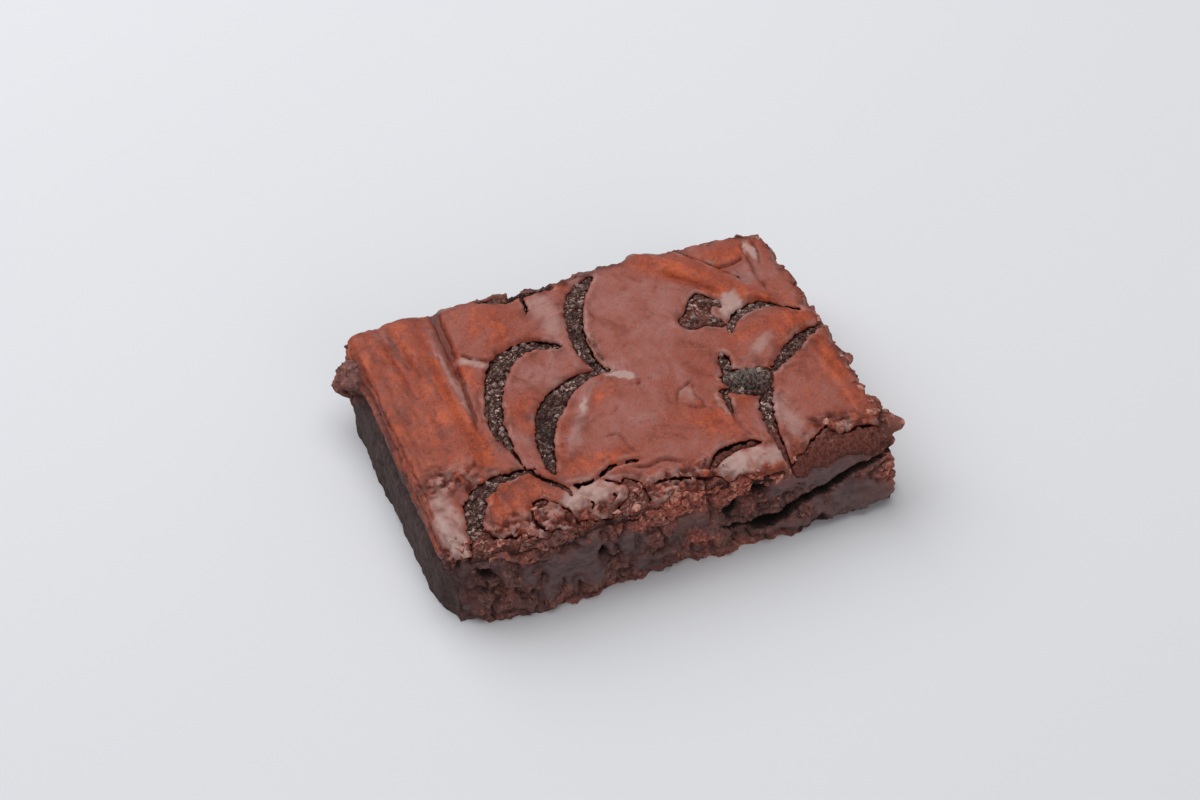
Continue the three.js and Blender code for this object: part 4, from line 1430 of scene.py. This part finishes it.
# %% Body mesh
WALL_RINGS = 56
TOP_DROP = 0.6
OPEN_TOP_DROP = 0.9
PAN_TOP_DROP = 1.2
HIDDEN_GRID = 3.0


def body_mesh():
    """The walls as rings from the crust down, closed by a hidden top and a flat base, and their masks."""
    edge, outward = wall_outline()
    ex, ey = edge.T
    opened = unbroken(ex, ey)
    pan = np.clip(-outward[:, 0], 0, None) ** 2
    drop = 1 - ramp(opened, -0.3, 0.5)
    top = CRUST_HEIGHT + domes(ex, ey) - TOP_DROP - OPEN_TOP_DROP * drop - pan * PAN_TOP_DROP
    levels = 1 - np.linspace(0, 1, WALL_RINGS)
    z = top[:, None] * levels[None, :]
    rings, masks = wall_points(edge, outward, z, top[:, None])
    rings[:, -1, 2] = 0
    count = len(edge)
    points = rings.transpose(1, 0, 2).reshape(-1, 3)
    masks = {name: values.T.ravel() for name, values in masks.items()}
    n = np.arange(count)
    following = (n + 1) % count
    faces = []
    for level in range(WALL_RINGS - 1):
        here, below = level * count, (level + 1) * count
        faces.append(np.stack([here + n, below + n, below + following], 1))
        faces.append(np.stack([here + n, below + following, here + following], 1))
    edges = np.stack([n, following], 1)
    inner = grid_points(np.arange(-42, 43, HIDDEN_GRID), np.arange(-29, 30, HIDDEN_GRID))
    cover = fill_region(points[:count, :2], edges, inner)
    ix, iy = inner.T
    hidden = CRUST_HEIGHT + domes(ix, iy) - FLOOR_BASE + 0.4 - 4 * ramp(-ix, 38, 44)
    inner = np.stack([ix, iy, hidden], 1)
    total = len(points)
    faces.append(np.where(cover < count, cover, cover - count + total))
    base = fill_region(points[-count:, :2], edges, np.zeros((0, 2)))
    faces.append((base + total - count)[:, ::-1])
    masks = {name: np.concatenate([values, np.zeros(len(inner))]) for name, values in masks.items()}
    return np.concatenate([points, inner]), np.concatenate(faces), masks


points, triangles, body_masks = body_mesh()
body = make_object("brownie_crumb", points, triangles, body_masks, cut_material, sharp=80)

# %% [markdown]
# ## Loose crumbs
# Cutting leaves crumbs and bits of crust all over the torn places. A few rocky shapes are made once, and
# a Geometry Nodes tree sets hundreds of them, turned and sized at random, where a surface's `scatter`
# mask allows it. The result is kept as a plain mesh.

# %% Crumb shapes
FLAKE_POINTS = 16
FLAKE_TURNS = 2.6
SHAPE_SHARP = 35


def grain_shape(name, seed, flatness):
    """A rocky grain about one unit across."""
    grid = bmesh.new()
    bmesh.ops.create_icosphere(grid, subdivisions=2, radius=0.5)
    for vertex in grid.verts:
        x, y, z = vertex.co
        swell = 1 + 0.5 * float(noise(3.1 * x + seed, 3.1 * y, 3.1 * z))
        swell += 0.3 * float(noise(7 * x, 7 * y + seed, 7 * z))
        vertex.co = (x * swell, y * swell, z * swell * flatness)
    return finished_shape(name, grid)


def flake_shape(name, seed, flatness):
    """An angular, slightly curled flake about one unit across."""
    grid = bmesh.new()
    for n in range(FLAKE_POINTS):
        turn = math.tau * n / FLAKE_POINTS * FLAKE_TURNS
        reach = 0.34 + 0.16 * float(lattice(n, seed, 1))
        grid.verts.new((reach * math.cos(turn), reach * math.sin(turn), 0.5 * float(lattice(seed, n, 2))))
    hull = bmesh.ops.convex_hull(grid, input=grid.verts)
    bmesh.ops.delete(grid, geom=list({*hull["geom_interior"], *hull["geom_unused"]}), context="VERTS")
    bmesh.ops.subdivide_edges(grid, edges=grid.edges, cuts=1, use_grid_fill=True)
    bmesh.ops.triangulate(grid, faces=grid.faces)
    for vertex in grid.verts:
        x, y, z = vertex.co
        curl = 0.5 * (x * x - 0.1)
        uneven = 0.06 * float(noise(5 * x + seed, 5 * y, 5 * z))
        vertex.co = (x + uneven, y - uneven, z * flatness + curl)
    bmesh.ops.recalc_face_normals(grid, faces=grid.faces)
    return finished_shape(name, grid)


def finished_shape(name, grid):
    """The shape as an object outside the scene, smooth apart from its sharp edges."""
    mesh = bpy.data.meshes.new(name)
    grid.to_mesh(mesh)
    grid.free()
    mesh.shade_smooth()
    mesh.set_sharp_from_angle(angle=math.radians(SHAPE_SHARP))
    return bpy.data.objects.new(name, mesh)


def shape_set(name, maker, flatness, count=6):
    """A collection of shapes of one kind, each from its own seed and a little thicker than the last."""
    shapes = bpy.data.collections.new(name)
    for n in range(count):
        shapes.objects.link(maker(f"{name}_{n}", 3.7 + 5.3 * n, flatness * (0.8 + 0.08 * n)))
    return shapes


# %% [markdown]
# Crumbs are turned any way and flakes only a little from the surface that they lie on.

# %% Scatter tree
RARITY = 2.5


def scatter_tree():
    """Geometry Nodes that set shapes on a surface where its `scatter` mask allows, and their inputs."""
    tree = bpy.data.node_groups.new("scatter_crumbs", "GeometryNodeTree")
    kinds = {
        "Surface": "Geometry", "Shapes": "Collection", "Per Area": "Float", "Smallest": "Float",
        "Largest": "Float", "Tilt": "Float", "Seed": "Int", "Finish": "Material",
    }
    sockets = {
        name: tree.interface.new_socket(name, in_out="INPUT", socket_type="NodeSocket" + kind).identifier
        for name, kind in kinds.items()
    }
    tree.interface.new_socket("Crumbs", in_out="OUTPUT", socket_type="NodeSocketGeometry")

    def add(kind, inputs, output=0, **settings):
        return add_node(tree, kind, inputs, **settings).outputs[output]

    given = tree.nodes.new("NodeGroupInput").outputs
    surface, seed, tilt = given["Surface"], given["Seed"], given["Tilt"]
    mask = add("GeometryNodeInputNamedAttribute", {"Name": "scatter"}, "Attribute", data_type="FLOAT")
    density = add("ShaderNodeMath", {0: mask, 1: given["Per Area"]}, operation="MULTIPLY")
    spread_inputs = {"Mesh": surface, "Seed": seed, "Density": density}
    spread = add_node(tree, "GeometryNodeDistributePointsOnFaces", spread_inputs).outputs
    chosen_inputs = {"Collection": given["Shapes"], "Separate Children": True, "Reset Children": True}
    chosen = add("GeometryNodeCollectionInfo", chosen_inputs)

    # A random number to a power makes many small crumbs and few large ones.
    chance = add("FunctionNodeRandomValue", {"Seed": seed}, 1, data_type="FLOAT")
    rare = add("ShaderNodeMath", {0: chance, 1: RARITY}, operation="POWER")
    size_inputs = {"Value": rare, "To Min": given["Smallest"], "To Max": given["Largest"]}
    size = add("ShaderNodeMapRange", size_inputs, "Result")

    # Each one is turned by any angle about the way out, and leans from it by up to the tilt.
    lean = add("ShaderNodeMath", {0: tilt, 1: -1}, operation="MULTIPLY")
    low = add("ShaderNodeCombineXYZ", {0: lean, 1: lean})
    high = add("ShaderNodeCombineXYZ", {0: tilt, 1: tilt, 2: math.tau})
    turn = add("FunctionNodeRandomValue", {0: low, 1: high, "Seed": seed}, data_type="FLOAT_VECTOR")
    turned_inputs = {"Rotation": spread["Rotation"], "Rotate By": turn}
    turned = add("FunctionNodeRotateRotation", turned_inputs, "Rotation", rotation_space="LOCAL")

    placed_inputs = {"Points": spread["Points"], "Instance": chosen, "Pick Instance": True}
    placed_inputs.update({"Rotation": turned, "Scale": size})
    placed = add("GeometryNodeInstanceOnPoints", placed_inputs, "Instances")
    tone = add("FunctionNodeRandomValue", {"Seed": seed}, 1, data_type="FLOAT")
    stored_inputs = {"Name": "tone", "Geometry": placed, "Value": tone}
    stored = add("GeometryNodeStoreNamedAttribute", stored_inputs, data_type="FLOAT", domain="INSTANCE")
    real = add("GeometryNodeRealizeInstances", {"Geometry": stored})
    finished = add("GeometryNodeSetMaterial", {"Geometry": real, "Material": given["Finish"]})
    add_node(tree, "NodeGroupOutput", {"Crumbs": finished})
    return tree, sockets


SCATTER, SCATTER_SOCKETS = scatter_tree()

# %% Scatter on one piece
def scatter(name, carrier, shapes, per_mm2, smallest, largest, tilt, seed, finish):
    """Crumbs on a carrier's surface, as a plain mesh object. Sizes are in millimetres."""
    source = add_object(name + "_source", carrier.data)
    modifier = source.modifiers.new("scatter", "NODES")
    modifier.node_group = SCATTER
    values = {
        "Shapes": shapes, "Per Area": per_mm2 / MM**2, "Smallest": smallest * MM, "Largest": largest * MM,
        "Tilt": tilt, "Seed": seed, "Finish": finish,
    }
    for label, value in values.items():
        modifier[SCATTER_SOCKETS[label]] = value
    source.update_tag()
    graph = bpy.context.evaluated_depsgraph_get()
    mesh = bpy.data.meshes.new_from_object(source.evaluated_get(graph), depsgraph=graph)
    mesh.name = name
    bpy.data.objects.remove(source)
    print(f"{name}: {len(mesh.polygons)} faces")
    return add_object(name, mesh)


# %% [markdown]
# Crumbs of the cut take the crumb's browns. Bits of crust are flatter and carry its reds.

# %% Scatter the crumbs
GRAIN_DARK = srgb(56, 34, 30)
GRAIN_RED = srgb(88, 54, 48)
GRAIN_PALE = srgb(170, 146, 138)
WALL_GRAIN_RED = srgb(100, 60, 52)
WALL_GRAIN_PALE = srgb(150, 98, 84)
BIT_RED = srgb(134, 66, 52)
BIT_PALE = srgb(196, 142, 126)
WALL_BIT_DARK = srgb(102, 56, 47)
WALL_BIT_RED = srgb(156, 82, 66)
WALL_BIT_PALE = srgb(208, 146, 126)


def loose_finish(name, dark, middle, pale):
    """The finish of loose bits, each of its own tone between the three given."""
    f = Finish(name)
    uneven = f.times(f.math("SUBTRACT", f.noise(0.5), 0.5), 0.8)
    tone = f.math("ADD", f.mask("tone"), uneven)
    colour = f.paint(dark, (f.ramp(tone, 0.15, 0.6), middle), (f.ramp(tone, 0.75, 1.1), pale))
    normal = f.bump(f.noise(0.3, 3, 0.6), 0.06, 0.6)
    return f.finish(Base_Color=colour, Roughness=0.65, Normal=normal, Specular_IOR_Level=0.25)


grain_material = loose_finish("loose_crumb", GRAIN_DARK, GRAIN_RED, GRAIN_PALE)
wall_grain_material = loose_finish("wall_crumb", GRAIN_DARK, WALL_GRAIN_RED, WALL_GRAIN_PALE)
bit_material = loose_finish("crust_bits", GRAIN_RED, BIT_RED, BIT_PALE)
wall_bit_material = loose_finish("wall_bits", WALL_BIT_DARK, WALL_BIT_RED, WALL_BIT_PALE)
grain_shapes = shape_set("grain", grain_shape, 0.85)
bit_shapes = shape_set("bit", flake_shape, 0.36)

# The numbers are: how many a square millimetre, smallest and largest size, tilt in radians, and seed.
wall_crumbs = scatter("wall_crumbs", body, grain_shapes, 0.3, 0.2, 1.2, 3.1, 3, wall_grain_material)
floor_crumbs = scatter("floor_crumbs", floors, grain_shapes, 0.8, 0.25, 1.3, 3.1, 5, grain_material)
set_mask(body, "scatter", body_masks["bits"])
wall_bits = scatter("wall_bits", body, bit_shapes, 0.5, 0.4, 2.4, 0.6, 17, wall_bit_material)
top_bits = scatter("top_bits", crust, bit_shapes, 0.35, 0.3, 1.8, 0.4, 11, bit_material)
set_mask(floors, "scatter", front_patches)
crust_bits = scatter("crust_bits", floors, bit_shapes, 0.35, 0.4, 2.6, 0.5, 8, bit_material)

# %% [markdown]
# ## Floor and light
# A pale floor, one very large soft light from the back left that gives the crust its sheen, one from
# above, and a weak one from the front so that the cut side stays readable.

# %% Floor
FLOOR_HALF = 3.0
FLOOR_PALE = srgb(222, 223, 226)

floor_material = bpy.data.materials.new("pale_floor")
floor_material.use_nodes = True
floor_shader = floor_material.node_tree.nodes["Principled BSDF"]
floor_shader.inputs["Base Color"].default_value = FLOOR_PALE
floor_shader.inputs["Roughness"].default_value = 0.9
floor_mesh = bpy.data.meshes.new("floor")
corners = [(FLOOR_HALF * sx, FLOOR_HALF * sy, 0) for sx, sy in ((-1, -1), (1, -1), (1, 1), (-1, 1))]
floor_mesh.from_pydata(corners, [], [(0, 1, 2, 3)])
floor_mesh.materials.append(floor_material)
ground = add_object("floor", floor_mesh)

# %% Light
SOFTBOXES = [
    # name, azimuth and elevation in degrees, distance and side in metres, watts, colour
    ("key", 205, 48, 1.2, 1.2, 11.9, (0.98, 0.985, 1.0)),
    ("top", 120, 78, 1.3, 0.8, 4, (1.0, 0.98, 0.95)),
    ("front", 8, 24, 1.5, 1.0, 3.5, (1.0, 0.97, 0.94)),
]
SKY_COLOUR = (0.93, 0.95, 1.0, 1)
SKY_STRENGTH = 0.3

for name, azimuth, elevation, distance, side, watts, colour in SOFTBOXES:
    light = bpy.data.lights.new(name, "AREA")
    light.shape = "SQUARE"
    light.size = side
    light.energy = watts
    light.color = colour
    lamp = add_object(name, light)
    away = direction(azimuth, elevation)
    lamp.location = away * distance
    lamp.rotation_euler = away.to_track_quat("Z", "Y").to_euler()
    print(f"{name} light: {watts} W at {distance} m")

world = bpy.data.worlds.new("studio")
world.use_nodes = True
sky = world.node_tree.nodes["Background"]
sky.inputs["Color"].default_value = SKY_COLOUR
sky.inputs["Strength"].default_value = SKY_STRENGTH
bpy.context.scene.world = world
bpy.context.scene.view_settings.view_transform = "Standard"

# %% [markdown]
# ## Handing over
# All pieces ride on the one body, and together they stand for its solid.

# %% Ride and finish
crumb_pieces = (floors, body, wall_crumbs, floor_crumbs)
crust_pieces = (crust, crust_bits, top_bits, wall_bits)
for piece in (*crumb_pieces, *crust_pieces):
    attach(piece, "root")
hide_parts("brownie")
